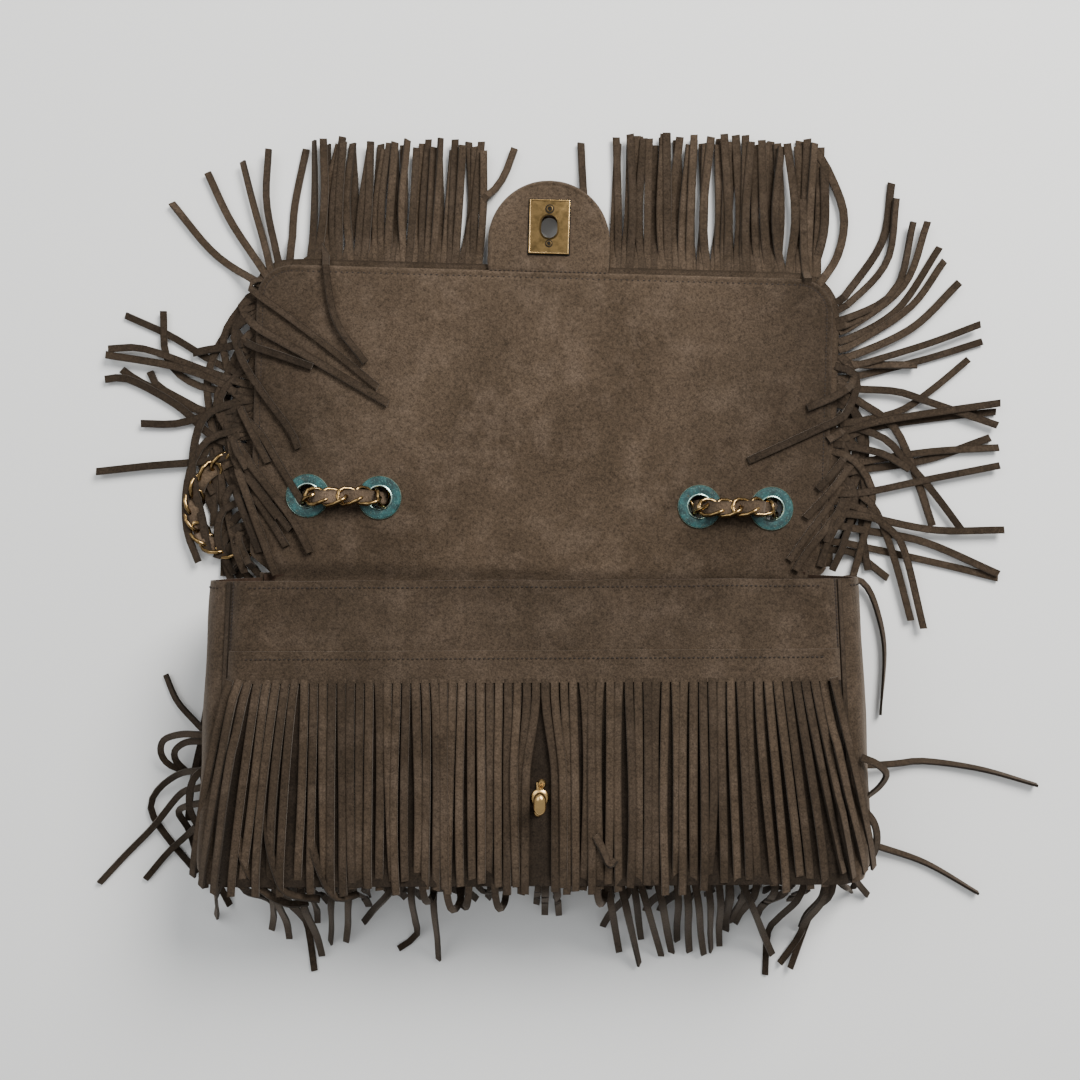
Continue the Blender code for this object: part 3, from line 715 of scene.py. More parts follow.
class FRINGEDBAG_OT_front_fringe(bpy.types.Operator):
    """Front fringe: a sewn header and its row of cut strips, parted round the lock"""
    bl_idname = "fringed_bag.front_fringe"
    bl_label = "Front fringe"

    def execute(self, context):
        p = settings()
        rng = random.Random(p.seed)
        width, thick, pitch = p.strip_width, p.strip_thickness, p.strip_pitch
        bm = bmesh.new()

        def header_place(s, t):
            y = mix(CUT_Y - HEADER_OVERLAP, HEADER_Y, (t + 1) / 2)
            x, yy, z = front_place(s * 0.992, (y - FOOT_Y) / (MOUTH_Y - FOOT_Y) * 2 - 1)
            return (x, yy, z + HEADER_LIFT)

        walled_panel(bm, 90, 8, header_place, (0, 0, 1), 0.0010)
        finish_piece(bm, "front_fringe_header", [finish_of("suede front")], "bag_body", crease=50)

        bm = bmesh.new()
        count = int(2 * 0.1365 / pitch)
        for i in range(count):
            x = -0.1365 + (i + 0.5) * pitch
            lock = x - POST[0]
            part = 0.0046 * exp(-(lock / 0.011) ** 2) * (1 if lock > 0 else -1)
            tip_x = x + front_shift(x) + rng.gauss(0, 0.0006) * (2.4 if i % 7 == 3 else 1)
            end_y = FOOT_Y - 0.0004 + rng.uniform(-0.0040, 0.0034)
            sway, knee = rng.gauss(0, 0.0007), rng.uniform(0.35, 0.65)
            layer = (0.0, 0.0007, 0.0003, 0.0010)[i % 4] + rng.uniform(0, 0.0005)
            places = []
            lean, arch, droop = abs(tip_x - x), rng.random(), 0.0045 * exp(-((abs(x) - 0.13) / 0.02) ** 2)
            splay = (0.85 if x < 0 else 1.05) if lean > 0.006 else 1.5
            for k in range(13):
                t = k / 12
                y = mix(CUT_Y + HEADER_OVERLAP / 2, end_y + droop * (x > 0), t)
                px = (mix(x, tip_x, t ** splay) + part * ease(t * 2.4 - 0.15)
                      + sway * sin(pi * t ** (0.7 if knee < 0.5 else 1.3)))
                half = half_width(y)
                face = front_place(
                    max(-1, min(1, px / half)),
                    (y - FOOT_Y) / (MOUTH_Y - FOOT_Y) * 2 - 1)[2] + (0.0025 if abs(px) > half - 0.006 else 0.0)
                off = max(0.0, abs(px) - half + 0.001)
                z = (max(face, 0.0692) + 0.0005 + (0.0002 + layer) * ease(t * 2)
                     + 0.0007 * sin(pi * t) * arch - off * (0.35 + off * 45))
                z -= 0.0022 * ease((t - 0.86) / 0.14)
                places.append(Vector(tilt((px, y, z))))
            twist = rng.gauss(0, 0.14)
            if x > 0.118 or x < -0.125:
                twist += 0.55 * (1 if x > 0 else -1)
            cut_strip(
                bm, places, width * rng.uniform(1.03, 1.10), thick, (0, twist), rng.random(),
                0.0002 * rng.uniform(-1, 1), notch=rng.uniform(-0.0006, 0.0006))
        finish_piece(bm, "front_strips", [finish_of("suede strip")], "bag_body", ["front_fringe"])
        return {"FINISHED"}


# -------------------------------------------------------------- lower row
# Tip places of the lower row, in millimetres, after the place of its root along the bottom seam.
LOWER_ROW = (
    (-143, (-159, -103)), (-117, (-131, -109)), (-118, (-122, -113)), (-116, (-113, -108), (-110, -130)),
    (-107, (-106, -122)), (-101, (-108, -105)), (-91, (-102, -116)), (-83, (-94, -115)), (-62, (-85, -105)),
    (-56, (-59, -112), (-68, -119)), (-46, (-48, -124)), (5, (5, -101)), (10, (12, -102)),
    (33, (42, -120)), (39, (52, -126)), (45, (53, -114)), (48, (63, -122)), (56, (68, -120)), (65, (71, -115)),
    (69, (77, -120)), (73, (84, -121)), (79, (88, -120)), (84, (92, -117)), (89, (95, -109)), (102, (100, -106)),
    (117, (112, -99)), (94, (118, -121)), (124, (116, -111), (115, -132)), (134, (131, -113), (122, -126)),
    (137, (135, -105), (127, -128)), (138, (158, -90)),
)


class FRINGEDBAG_OT_lower_fringe(bpy.types.Operator):
    """Fringe of the bottom seam, falling from under the front strips to the floor"""
    bl_idname = "fringed_bag.lower_fringe"
    bl_label = "Lower fringe"

    def execute(self, context):
        p = settings()
        rng = random.Random(p.seed + 1)
        bm = bmesh.new()
        routes = [(r * MM, [Vector((x * MM, y * MM, 0)) for x, y in tips]) for r, *tips in LOWER_ROW]
        for i in range(38):
            root = -0.134 + i * 0.0072 + rng.uniform(-0.001, 0.001)
            reach = rng.uniform(0.084, 0.097) if root < 0.03 else rng.uniform(0.09, 0.112)
            routes.append((root, [Vector((root + rng.gauss(0, 0.005), -reach, 0))]))
        for k, (root, tips) in enumerate(routes):
            start = Vector((root, FOOT_Y - 0.0015, 0.053))
            knee = start.lerp(tips[0], 0.28)
            knee.z = 0.046
            low = start.lerp(tips[0], 0.72)
            low.z = 0.016
            floor_z = 0.0010 + (k % 3) * 0.0012
            ends = [Vector((q.x, q.y, floor_z + 0.001 * (len(tips) - 1 - j))) for j, q in enumerate(tips)]
            places = smooth_route([start, knee, low, *ends], 12)
            cut_strip(
                bm, places, p.strip_width * rng.uniform(0.9, 1.05), p.strip_thickness,
                (rng.gauss(0, 0.2), rng.gauss(0, 0.45)), rng.random(), up=(0, 0.4, 1))
        # Strips of the front row that hang over the bottom edge and curl back under it.
        for x, drop, back in (
                (-0.039, 0.0125, 0.006), (-0.029, 0.0115, -0.0055), (-0.0175, 0.0120, 0.005), (-0.0495, 0.009, 0.004),
                (0.028, 0.010, 0.005)):
            places = smooth_route(
                [
                    (x, FOOT_Y + 0.010, 0.0695), (x, FOOT_Y - 0.002, 0.0685), (x + back * 0.3, FOOT_Y - drop, 0.062),
                    (x + back * 0.8, FOOT_Y - drop, 0.0525), (x + back, FOOT_Y - 0.003, 0.049)],
                14)
            cut_strip(bm, places, p.strip_width * 0.95, p.strip_thickness, (0, 0.25), rng.random())
        for line in (
            ((-119, -36, 69.6), (-117, -50, 71.6), (-114, -62, 71.6), (-110, -72, 68), (-96, -76, 64)),
            ((-100, -40, 69.4), (-97, -54, 71.8), (-91, -70, 70), (-86, -75, 66), (-79, -74, 62)),
            ((-131, -40, 68.6), (-129, -56, 70.4), (-122, -70, 67), (-112, -79, 60), (-103, -80, 55)),
            ((27, -45, 72.6), (30, -51, 73.6), (33, -58, 73.4), (36, -56, 72.6)),
        ):
            cut_strip(
                bm, smooth_route([Vector(q) * MM for q in line], 14), p.strip_width, p.strip_thickness, (0.2, 1.0),
                rng.random())
        finish_piece(bm, "lower_strips", [finish_of("suede dark strip")], "bag_body", ["lower_fringe"])
        return {"FINISHED"}


# ------------------------------------------------------- body side fringes
# Strips sewn into the body's side seams, in millimetres, root first.
LEFT_SEAM = (
    ((-146, -14, 22), (-160, -10, 12), (-168, -5, 6), (-178, 5, 3), (-184, 18, 2)),
    (
        (-148, -6, 40), (-158, -7, 34), (-169, -8, 26), (-180, -12, 17), (-184, -19, 10), (-182, -26, 5),
        (-175, -30, 2),
    ),
    ((-149, -10, 36), (-160, -11, 28), (-169, -13, 20), (-176, -18, 13), (-177, -24, 8), (-173, -30, 4)),
    (
        (-150, -24, 34), (-163, -26, 24), (-175, -30, 12), (-187, -39, 5), (-191, -49, 3), (-184, -62, 2),
        (-168, -81, 2),
    ),
    ((-151, -30, 36), (-162, -34, 26), (-173, -39, 15), (-189, -57, 5), (-204, -72, 2), (-217, -86, 2)),
    ((-152, -44, 30), (-162, -52, 20), (-172, -61, 9), (-183, -71, 3), (-194, -84, 2)),
    ((-152, -38, 38), (-165, -42, 26), (-174, -48, 14), (-171, -59, 6), (-167, -76, 3)),
    ((-151, 16, 26), (-158, 10, 16), (-163, -4, 8), (-166, -22, 4), (-164, -38, 3)),
    ((-150, 4, 30), (-158, -4, 22), (-165, -20, 12), (-170, -38, 6), (-172, -54, 5)),
    ((-152, -54, 30), (-158, -62, 20), (-162, -74, 8), (-164, -88, 3)),
    ((-150, -60, 32), (-154, -70, 22), (-157, -82, 8), (-152, -97, 2)),
    ((-152, -20, 44), (-160, -28, 40), (-165, -44, 26), (-163, -60, 12), (-166, -74, 6)),
)
RIGHT_SEAM = (
    ((146, 64, 9), (156, 66, 6), (164, 63, 4), (170, 51, 3), (174, 30, 3), (172, -2, 3)),
    ((146, -22, 10), (160, -26, 8), (178, -26, 5), (194, -25, 3), (222, -29, 3), (250, -37, 3)),
    ((146, -54, 12), (158, -62, 8), (170, -67, 4), (195, -76, 2), (221, -91, 2)),
    ((146, -34, 62), (153, -42, 60), (156, -52, 55), (155, -62, 48), (150, -74, 38)),
    ((146, -12, 66), (153, -15, 66), (158, -20, 63), (156, -26, 60), (150, -31, 60)),
    ((152, -48, 40), (158, -58, 30), (161, -72, 16), (158, -88, 4)),
    ((150, -60, 36), (154, -70, 24), (158, -82, 10), (166, -92, 2)),
    ((151, 20, 20), (157, 10, 10), (160, -10, 4), (161, -30, 3)),
)


class FRINGEDBAG_OT_side_fringes(bpy.types.Operator):
    """Loose strips of the body's side seams, curling out over the floor"""
    bl_idname = "fringed_bag.side_fringes"
    bl_label = "Body side fringes"

    def execute(self, context):
        p = settings()
        for name, node, lines, seed in (
                ("left_seam_strips", "side_fringe_left", LEFT_SEAM, 2),
                ("right_seam_strips", "side_fringe_right", RIGHT_SEAM, 3)):
            rng = random.Random(p.seed + seed)
            bm = bmesh.new()
            for k, line in enumerate(lines):
                edge_on = 1.35 if name.startswith("right") and k < 3 else rng.uniform(0.2, 1.0)
                places = smooth_route([Vector(q) * MM for q in line], 20)
                for q in places:
                    q.z = max(q.z, 0.0008 + 0.0013 * sin(min(edge_on, 1.57)))
                cut_strip(bm, places, p.strip_width * 0.95, p.strip_thickness, (0.2, edge_on), rng.random())
            finish_piece(bm, name, [finish_of("suede dark strip")], "bag_body", [node])
        return {"FINISHED"}


# -------------------------------------------------------------------- lock
class FRINGEDBAG_OT_lock(bpy.types.Operator):
    """Turn lock: a domed brass base with its screws, the post and the oval knob"""
    bl_idname = "fringed_bag.lock"
    bl_label = "Turn lock"

    def execute(self, context):
        x, y = POST
        bm = bmesh.new()
        ring(
            bm, Vector((x, y, 0)),
            [
                (0, 0.0703), (0.0040, 0.0703), (0.0040, 0.0711), (0.0034, 0.0716), (0.0024, 0.0718), (0.0021, 0.0722),
                (0.0019, 0.0740), (0.0019, 0.0790), (0.0016, 0.0802), (0, 0.0802)],
            32, closed=False)
        for side in (-1, 1):
            ring(
                bm, Vector((x + 0.0008 * side, y + 0.0062 * side, 0)),
                [(0, 0.0703), (0.0021, 0.0703), (0.0021, 0.0712), (0.0015, 0.0719), (0.0006, 0.0721), (0, 0.0719)],
                20, closed=False)
        bridge = bmesh.ops.create_cube(bm, size=1)["verts"]
        for v in bridge:
            v.co = Vector((x + v.co.x * 0.0030, y + v.co.y * 0.0140, 0.0709 + v.co.z * 0.0012))
        bmesh.ops.bevel(
            bm, geom=list({e for v in bridge for e in v.link_edges}), offset=0.0004, affect="EDGES", segments=2,
            profile=0.5, material=-1)
        finish_piece(
            bm, "lock_base_post", [finish_of("rim brass")], "bag_body", ["lock_base", "lock_post"],
            crease=35)

        bm = bmesh.new()
        turned = [
            (0, -0.00300), (0.0018, -0.00285), (0.0027, -0.0022), (0.00305, -0.0012), (0.0031, 0), (0.0030, 0.0011),
            (0.0026, 0.0020), (0.0018, 0.0026), (0.0009, 0.00292), (0, 0.0030)]
        ring(bm, Vector((0, 0, 0)), turned, 32, closed=False)
        for v in bm.verts:
            pinch = 1 - 0.10 * exp(-(v.co.y / 0.0009) ** 2)
            v.co = Vector((
                x + v.co.x * pinch, y + v.co.y * 0.00485 / 0.0031,
                0.0835 + v.co.z * (1 - 0.10 * exp(-(v.co.y / 0.0009) ** 2) * (v.co.z > 0))))
        finish_piece(bm, "lock_knob_oval", [finish_of("rim brass")], "knob", ["lock_knob"], crease=60)
        return {"FINISHED"}


# -------------------------------------------------------------------- flap
def flap_level(w, u):
    """Height of the flap's inner face: padded, stitched down near its rim and turned at the edge."""
    d = rim_distance(w, u)
    groove = 0.00045 * exp(-((d - 0.0031) / 0.0006) ** 2)
    turned = 0.0008 * (1 - ease(d / 0.0014)) ** 2
    soft = 0.00025 * noise.noise(Vector((w * 18, u * 18, 1.3)))
    return FLAP_FACE - groove - turned + soft * ease(d / 0.01)


def flap_grid_place(s, t, low=0.012):
    """s across from -1 to 1, t from the fold side to the far end, closer together near the rim."""
    u = mix(low, FLAP_LENGTH, 0.35 * (t + 1) / 2 + 0.65 * sin((t + 1) * pi / 4))
    half = FLAP_HALF
    past = u - (FLAP_LENGTH - FLAP_CORNER)
    if past > 0:
        half = FLAP_HALF - FLAP_CORNER + sqrt(max(1e-9, FLAP_CORNER ** 2 - past ** 2))
    w = half * (0.25 * s + 0.75 * sin(s * pi / 2))
    return w, u


def rim_line(inset, low, counts, end):
    """Places along the flap's left half outline, inset from its rim: up the side, round the corner, along the end."""
    along_side, round_corner, along_end = counts
    r = FLAP_CORNER - inset
    line = [(inset - FLAP_HALF, mix(low, FLAP_LENGTH - FLAP_CORNER, i / along_side)) for i in range(along_side + 1)]
    for i in range(1, round_corner + 1):
        a = pi - i / round_corner * pi / 2
        line.append((FLAP_CORNER - FLAP_HALF + r * cos(a), FLAP_LENGTH - FLAP_CORNER + r * sin(a)))
    for i in range(1, along_end + 1):
        line.append((mix(FLAP_CORNER - FLAP_HALF, end, i / along_end), FLAP_LENGTH - inset))
    return line


# Where the flap bends: at its root and at its fold.
ROOT_BAND = (on_flap(0, -0.006, 0.009), on_flap(0, 0.012, 0.009))
FOLD_BAND = (on_flap(0, 0.060, 0.009), on_flap(0, 0.0745, 0.009))


class FRINGEDBAG_OT_flap(bpy.types.Operator):
    """The open flap, its fold into the body, its stitching and the header that its fringe is cut from"""
    bl_idname = "fringed_bag.flap"
    bl_label = "Flap"

    def execute(self, context):
        bm = bmesh.new()

        def sheet_place(s, t):
            w, u = flap_grid_place(s, t)
            return on_flap(w, u, flap_level(w, u))

        walled_panel(bm, 110, 80, sheet_place, (0, 0, 1), FLAP_FACE - FLAP_UNDER)
        centres = [on_flap(w, EYELET_U) for w in EYELET_W]
        punched = [f for f in bm.faces if any((f.calc_center_median().xy - q.xy).length < 0.0075 for q in centres)]
        bmesh.ops.delete(bm, geom=punched, context="FACES")
        for q in centres:
            bmesh.ops.bridge_loops(
                bm,
                edges=[e for e in bm.edges if len(e.link_faces) == 1 and (e.verts[0].co.xy - q.xy).length < 0.013])
        flap = finish_piece(
            bm, "flap_sheet", [finish_of("suede panel")], None,
            ["flap_top_skin", "flap_top_lining", "flap_front_skin", "flap_front_lining"], crease=50)
        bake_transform(flap)

        bm = bmesh.new()

        def root_place(s, t):
            u = mix(-0.0135, 0.0122, (t + 1) / 2)
            w = FLAP_HALF * (0.25 * s + 0.75 * sin(s * pi / 2))
            inside = ease(-u / 0.010)
            w *= mix(1.0, (half_width(MOUTH_Y) - 0.004) / FLAP_HALF, ease((0.004 - u) / 0.012))
            z = mix(flap_level(w, max(u, 0.012)), 0.0072, inside)
            return on_flap(w, u, z)

        walled_panel(bm, 110, 14, root_place, (0, 0, 1), 0.0024)
        hinge = finish_piece(bm, "flap_root", [finish_of("suede panel")], None, crease=50)
        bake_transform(hinge)

        stitches = bmesh.new()
        line = rim_line(0.0031, 0.008, (60, 12, 40), 0)
        full = line + [(-w, u) for w, u in reversed(line[:-1])]
        stitch_row(stitches, [on_flap(w, u, FLAP_FACE - 0.00042) for w, u in full], settings().stitch_pitch)
        rim = finish_piece(stitches, "flap_stitching", [finish_of("thread")], None)
        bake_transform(rim)

        # The header of the flap fringe shows past the rim on both sides and at the end.
        line = rim_line(0, 0.004, (30, 8, 15), -0.026)
        bm = bmesh.new()
        for side in (-1, 1):
            turned = [on_flap(-side * w, u, ROOT_LEVEL) for w, u in line]
            cut_strip(bm, smooth_route(turned[::3] + turned[-1:], 70), 0.0072, 0.0011, tone=0.30)
        header = finish_piece(bm, "flap_fringe_header", [finish_of("suede strip")], None)
        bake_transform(header)
        return {"FINISHED"}


def deepen(bm, low):
    """Gives an open patch of faces its walls and underside, down to a level."""
    faces = outward(bm, list(bm.verts), (0, 0, 1))
    for v in bmesh.ops.extrude_face_region(bm, geom=faces)["geom"]:
        if isinstance(v, bmesh.types.BMVert):
            v.co.z = low


def onto_plate(bm):
    """Moves what was made round the origin to the lock plate's place on the tab."""
    for v in bm.verts:
        v.co = on_flap(TAB_W + v.co.x, PLATE_U + v.co.y, v.co.z)


class FRINGEDBAG_OT_tab(bpy.types.Operator):
    """The rounded tab at the flap's end with its stitched edge and brass lock plate"""
    bl_idname = "fringed_bag.tab"
    bl_label = "Tab and lock plate"

    def execute(self, context):
        base, round_u = FLAP_LENGTH - 0.0012, TAB_END - TAB_HALF

        def tab_place(s, t):
            u = mix(base, TAB_END, 0.30 * (t + 1) / 2 + 0.70 * sin((t + 1) * pi / 4))
            past = max(0.0, u - round_u)
            half = sqrt(max(1e-10, TAB_HALF ** 2 - past ** 2)) - 0.0006 * (1 - ease((u - base) / 0.006))
            w = half * (0.4 * s + 0.6 * sin(s * pi / 2))
            d = TAB_HALF - hypot(w, past)
            level = 0.0101 - 0.0010 * (1 - ease(d / 0.0016)) ** 2 - 0.0003 * exp(-((d - 0.0026) / 0.0006) ** 2)
            level -= 0.0009 * exp(-((u - base) / 0.0016) ** 2)
            return on_flap(TAB_W + w, u, level)

        bm = bmesh.new()
        walled_panel(bm, 56, 48, tab_place, (0, 0, 1), 0.0030)
        hole = []
        for f in bm.faces:
            w, u = flap_place(*f.calc_center_median().xy)
            if hypot((w - TAB_W) / 0.0052, (u - PLATE_U) / 0.0062) < 1:
                hole.append(f)
        bmesh.ops.delete(bm, geom=hole, context="FACES")
        bmesh.ops.bridge_loops(bm, edges=[e for e in bm.edges if len(e.link_faces) == 1])
        tab = finish_piece(bm, "flap_tab", [finish_of("suede tab")], "flap_front", ["tab"], crease=50)
        bm = bmesh.new()
        stitch_row(
            bm,
            [
                on_flap(TAB_W + mix(-TAB_HALF + 0.001, TAB_HALF - 0.001, i / 10), base + 0.0012, 0.0097)
                for i in range(11)],
            settings().stitch_pitch)
        finish_piece(bm, "tab_stitching", [finish_of("thread")], "flap_front")

        # Three turned rings are drawn out to the oval slot, its lip and the plate's edge, then walled and bevelled.
        for name, node, low, high in (
                ("lock_plate_face", "lock_plate_inner", 0.0103, 0.0113),
                ("lock_plate_back", "lock_plate_outer", 0.0062, 0.0070)):
            bm = bmesh.new()
            spokes = [bm.verts.new((r, 0, high)) for r in (1, 2, 3)]
            spans = [bm.edges.new(pair) for pair in zip(spokes, spokes[1:])]
            bmesh.ops.spin(
                bm, geom=spokes + spans, cent=(0, 0, 0), axis=(0, 0, 1), angle=tau, steps=48, use_merge=True)
            bmesh.ops.remove_doubles(bm, verts=bm.verts, dist=1e-4)
            edge = []
            for v in bm.verts:
                a, kind = atan2(v.co.y, v.co.x), round(v.co.xy.length)
                if kind == 3:
                    reach = min(PLATE_HALF_W / max(1e-6, abs(cos(a))), PLATE_HALF_U / max(1e-6, abs(sin(a))))
                    v.co = Vector((reach * cos(a), reach * sin(a), high))
                    edge.append(v)
                else:
                    r = SLOT_RADIUS if kind == 1 else SLOT_LIP_RADIUS
                    straight = SLOT_STRAIGHT * max(-1, min(1, 4 * sin(a)))
                    v.co = Vector((r * cos(a), r * sin(a) + straight, high + (0.0006 if kind == 1 else 0.0)))
            for sx, sy in ((-1, -1), (-1, 1), (1, -1), (1, 1)):
                near = min(edge, key=lambda v: hypot(v.co.x - sx * PLATE_HALF_W, v.co.y - sy * PLATE_HALF_U))
                near.co.x, near.co.y = sx * PLATE_HALF_W, sy * PLATE_HALF_U
            deepen(bm, low)

            def on_edge(v):
                beside = abs(abs(v.co.x) - PLATE_HALF_W) < 1e-5 or abs(abs(v.co.y) - PLATE_HALF_U) < 1e-5
                return beside and abs(v.co.z - high) < 2e-4

            outer = [e for e in bm.edges if on_edge(e.verts[0]) and on_edge(e.verts[1])]
            bmesh.ops.bevel(bm, geom=outer, offset=0.0004, affect="EDGES", segments=2, profile=0.5, material=-1)
            onto_plate(bm)
            finish_piece(bm, name, [finish_of("plate brass")], "flap_front", [node], crease=28)
        bm = bmesh.new()
        # Each rivet gets a black disc in its hollow and a black ring round its head: painted shade.
        for off, size in ((0.0087, 1.1), (-0.0083, 0.92)):
            place = on_flap(TAB_W, PLATE_U + off, 0.01135)
            ring(
                bm, place,
                [
                    (r * size, z) for r,
                    z in (
                        (0.0009, -0.0004), (0.0009, 0.0002), (0.0011, 0.00035), (0.0014, 0.0003), (0.0016, 0.0001),
                        (0.0016, -0.0004))],
                24)
            ring(
                bm, place, [(0, -0.0004), (0.0010 * size, -0.0004), (0.0010 * size, 0.0001), (0, 0.0001)], 16, 1,
                closed=False)
            ring(
                bm, place,
                [
                    (r * size, z) for r,
                    z in ((0.0015, -0.0004), (0.0015, 0.00012), (0.0020, 0.00012), (0.0020, -0.0004))],
                24, 1)
        finish_piece(
            bm, "plate_rivets", [finish_of("plate brass"), finish_of("painted shade black")], "flap_front",
            ["plate_screw_upper", "plate_screw_lower"], crease=35)
        # A dark frame round the plate is painted shadow along its edge, and a bright border stands up along its rim.
        bm = bmesh.new()
        shadow_frame = bmesh.ops.create_cube(bm, size=1)["verts"]
        for v in shadow_frame:
            v.co = Vector((v.co.x * 0.0208, v.co.y * 0.0277, 0.01015 + v.co.z * 0.0004))
        bmesh.ops.delete(bm, geom=[f for f in bm.faces if abs(f.normal.z) < 0.5], context="FACES_ONLY")
        for f in list(bm.faces):
            bmesh.ops.inset_individual(bm, faces=[f], thickness=0.0045)
            bmesh.ops.delete(bm, geom=[f], context="FACES_ONLY")
        rim = [e for e in bm.edges if len(e.link_faces) == 1 and (
            min(abs(v.co.x) for v in e.verts) > 0.0102 or min(abs(v.co.y) for v in e.verts) > 0.0138)]
        bmesh.ops.bridge_loops(bm, edges=rim)
        onto_plate(bm)
        finish_piece(bm, "plate_shadow_frame", [finish_of("painted shade black")], "flap_front", crease=28)
        bm = bmesh.new()
        corners = []
        for hx, hy in ((0.0098, 0.01325), (0.00925, 0.0127)):
            made = bmesh.ops.create_circle(bm, segments=4, radius=1, cap_ends=False)["verts"]
            for v, (sx, sy) in zip(made, ((1, 1), (-1, 1), (-1, -1), (1, -1))):
                v.co = Vector((hx * sx, hy * sy, 0.01165))
            corners.append([e for e in bm.edges if e.verts[0] in made and e.verts[1] in made])
        bmesh.ops.bridge_loops(bm, edges=corners[0] + corners[1])
        deepen(bm, 0.0112)
        bmesh.ops.bevel(bm, geom=list(bm.edges), offset=0.00016, affect="EDGES", segments=2, profile=0.5, material=-1)
        onto_plate(bm)
        finish_piece(bm, "plate_border", [finish_of("rim brass")], "flap_front", crease=28)
        return {"FINISHED"}


class FRINGEDBAG_OT_eyelets(bpy.types.Operator):
    """Four enamelled eyelets with bright rims and their washers under the flap"""
    bl_idname = "fringed_bag.eyelets"
    bl_label = "Eyelets"

    def execute(self, context):
        for k, w in enumerate(EYELET_W, 1):
            centre = on_flap(w, EYELET_U, FLAP_FACE)
            bm = bmesh.new()
            ring(
                bm, centre,
                [
                    (0.0062, -0.0003), (0.0064, 0.0009), (0.0070, 0.00095), (0.0086, 0.00100), (0.0101, 0.00090),
                    (0.0104, 0.0006), (0.0105, -0.0005), (0.0062, -0.0005)],
                48, 0)
            ring(
                bm, centre,
                [
                    (0.0056, -0.0034), (0.0055, 0.0006), (0.0056, 0.0011), (0.0059, 0.0013), (0.0063, 0.0011),
                    (0.0062, -0.0034)],
                48, 1)
            ring(
                bm, centre,
                [(0.0103, -0.0004), (0.0103, 0.0006), (0.0105, 0.0008), (0.01075, 0.0005), (0.0108, -0.0004)], 48, 1)
            finish_piece(
                bm, f"eyelet_face_{k}", [finish_of("enamel"), finish_of("eyelet rim")], "flap_top",
                [f"eyelet_{k}"], crease=35)
            bm = bmesh.new()
            under = on_flap(w, EYELET_U, 0.0065)
            ring(
                bm, under,
                [
                    (0.0070, 0.0005), (0.0072, -0.0003), (0.0082, -0.0005), (0.0096, -0.0003), (0.0102, 0.0004),
                    (0.0102, 0.0006)],
                40, 0)
            finish_piece(
                bm, f"eyelet_washer_face_{k}", [finish_of("eyelet rim")], "flap_top", [f"eyelet_washer_{k}"],
                crease=35)
        return {"FINISHED"}
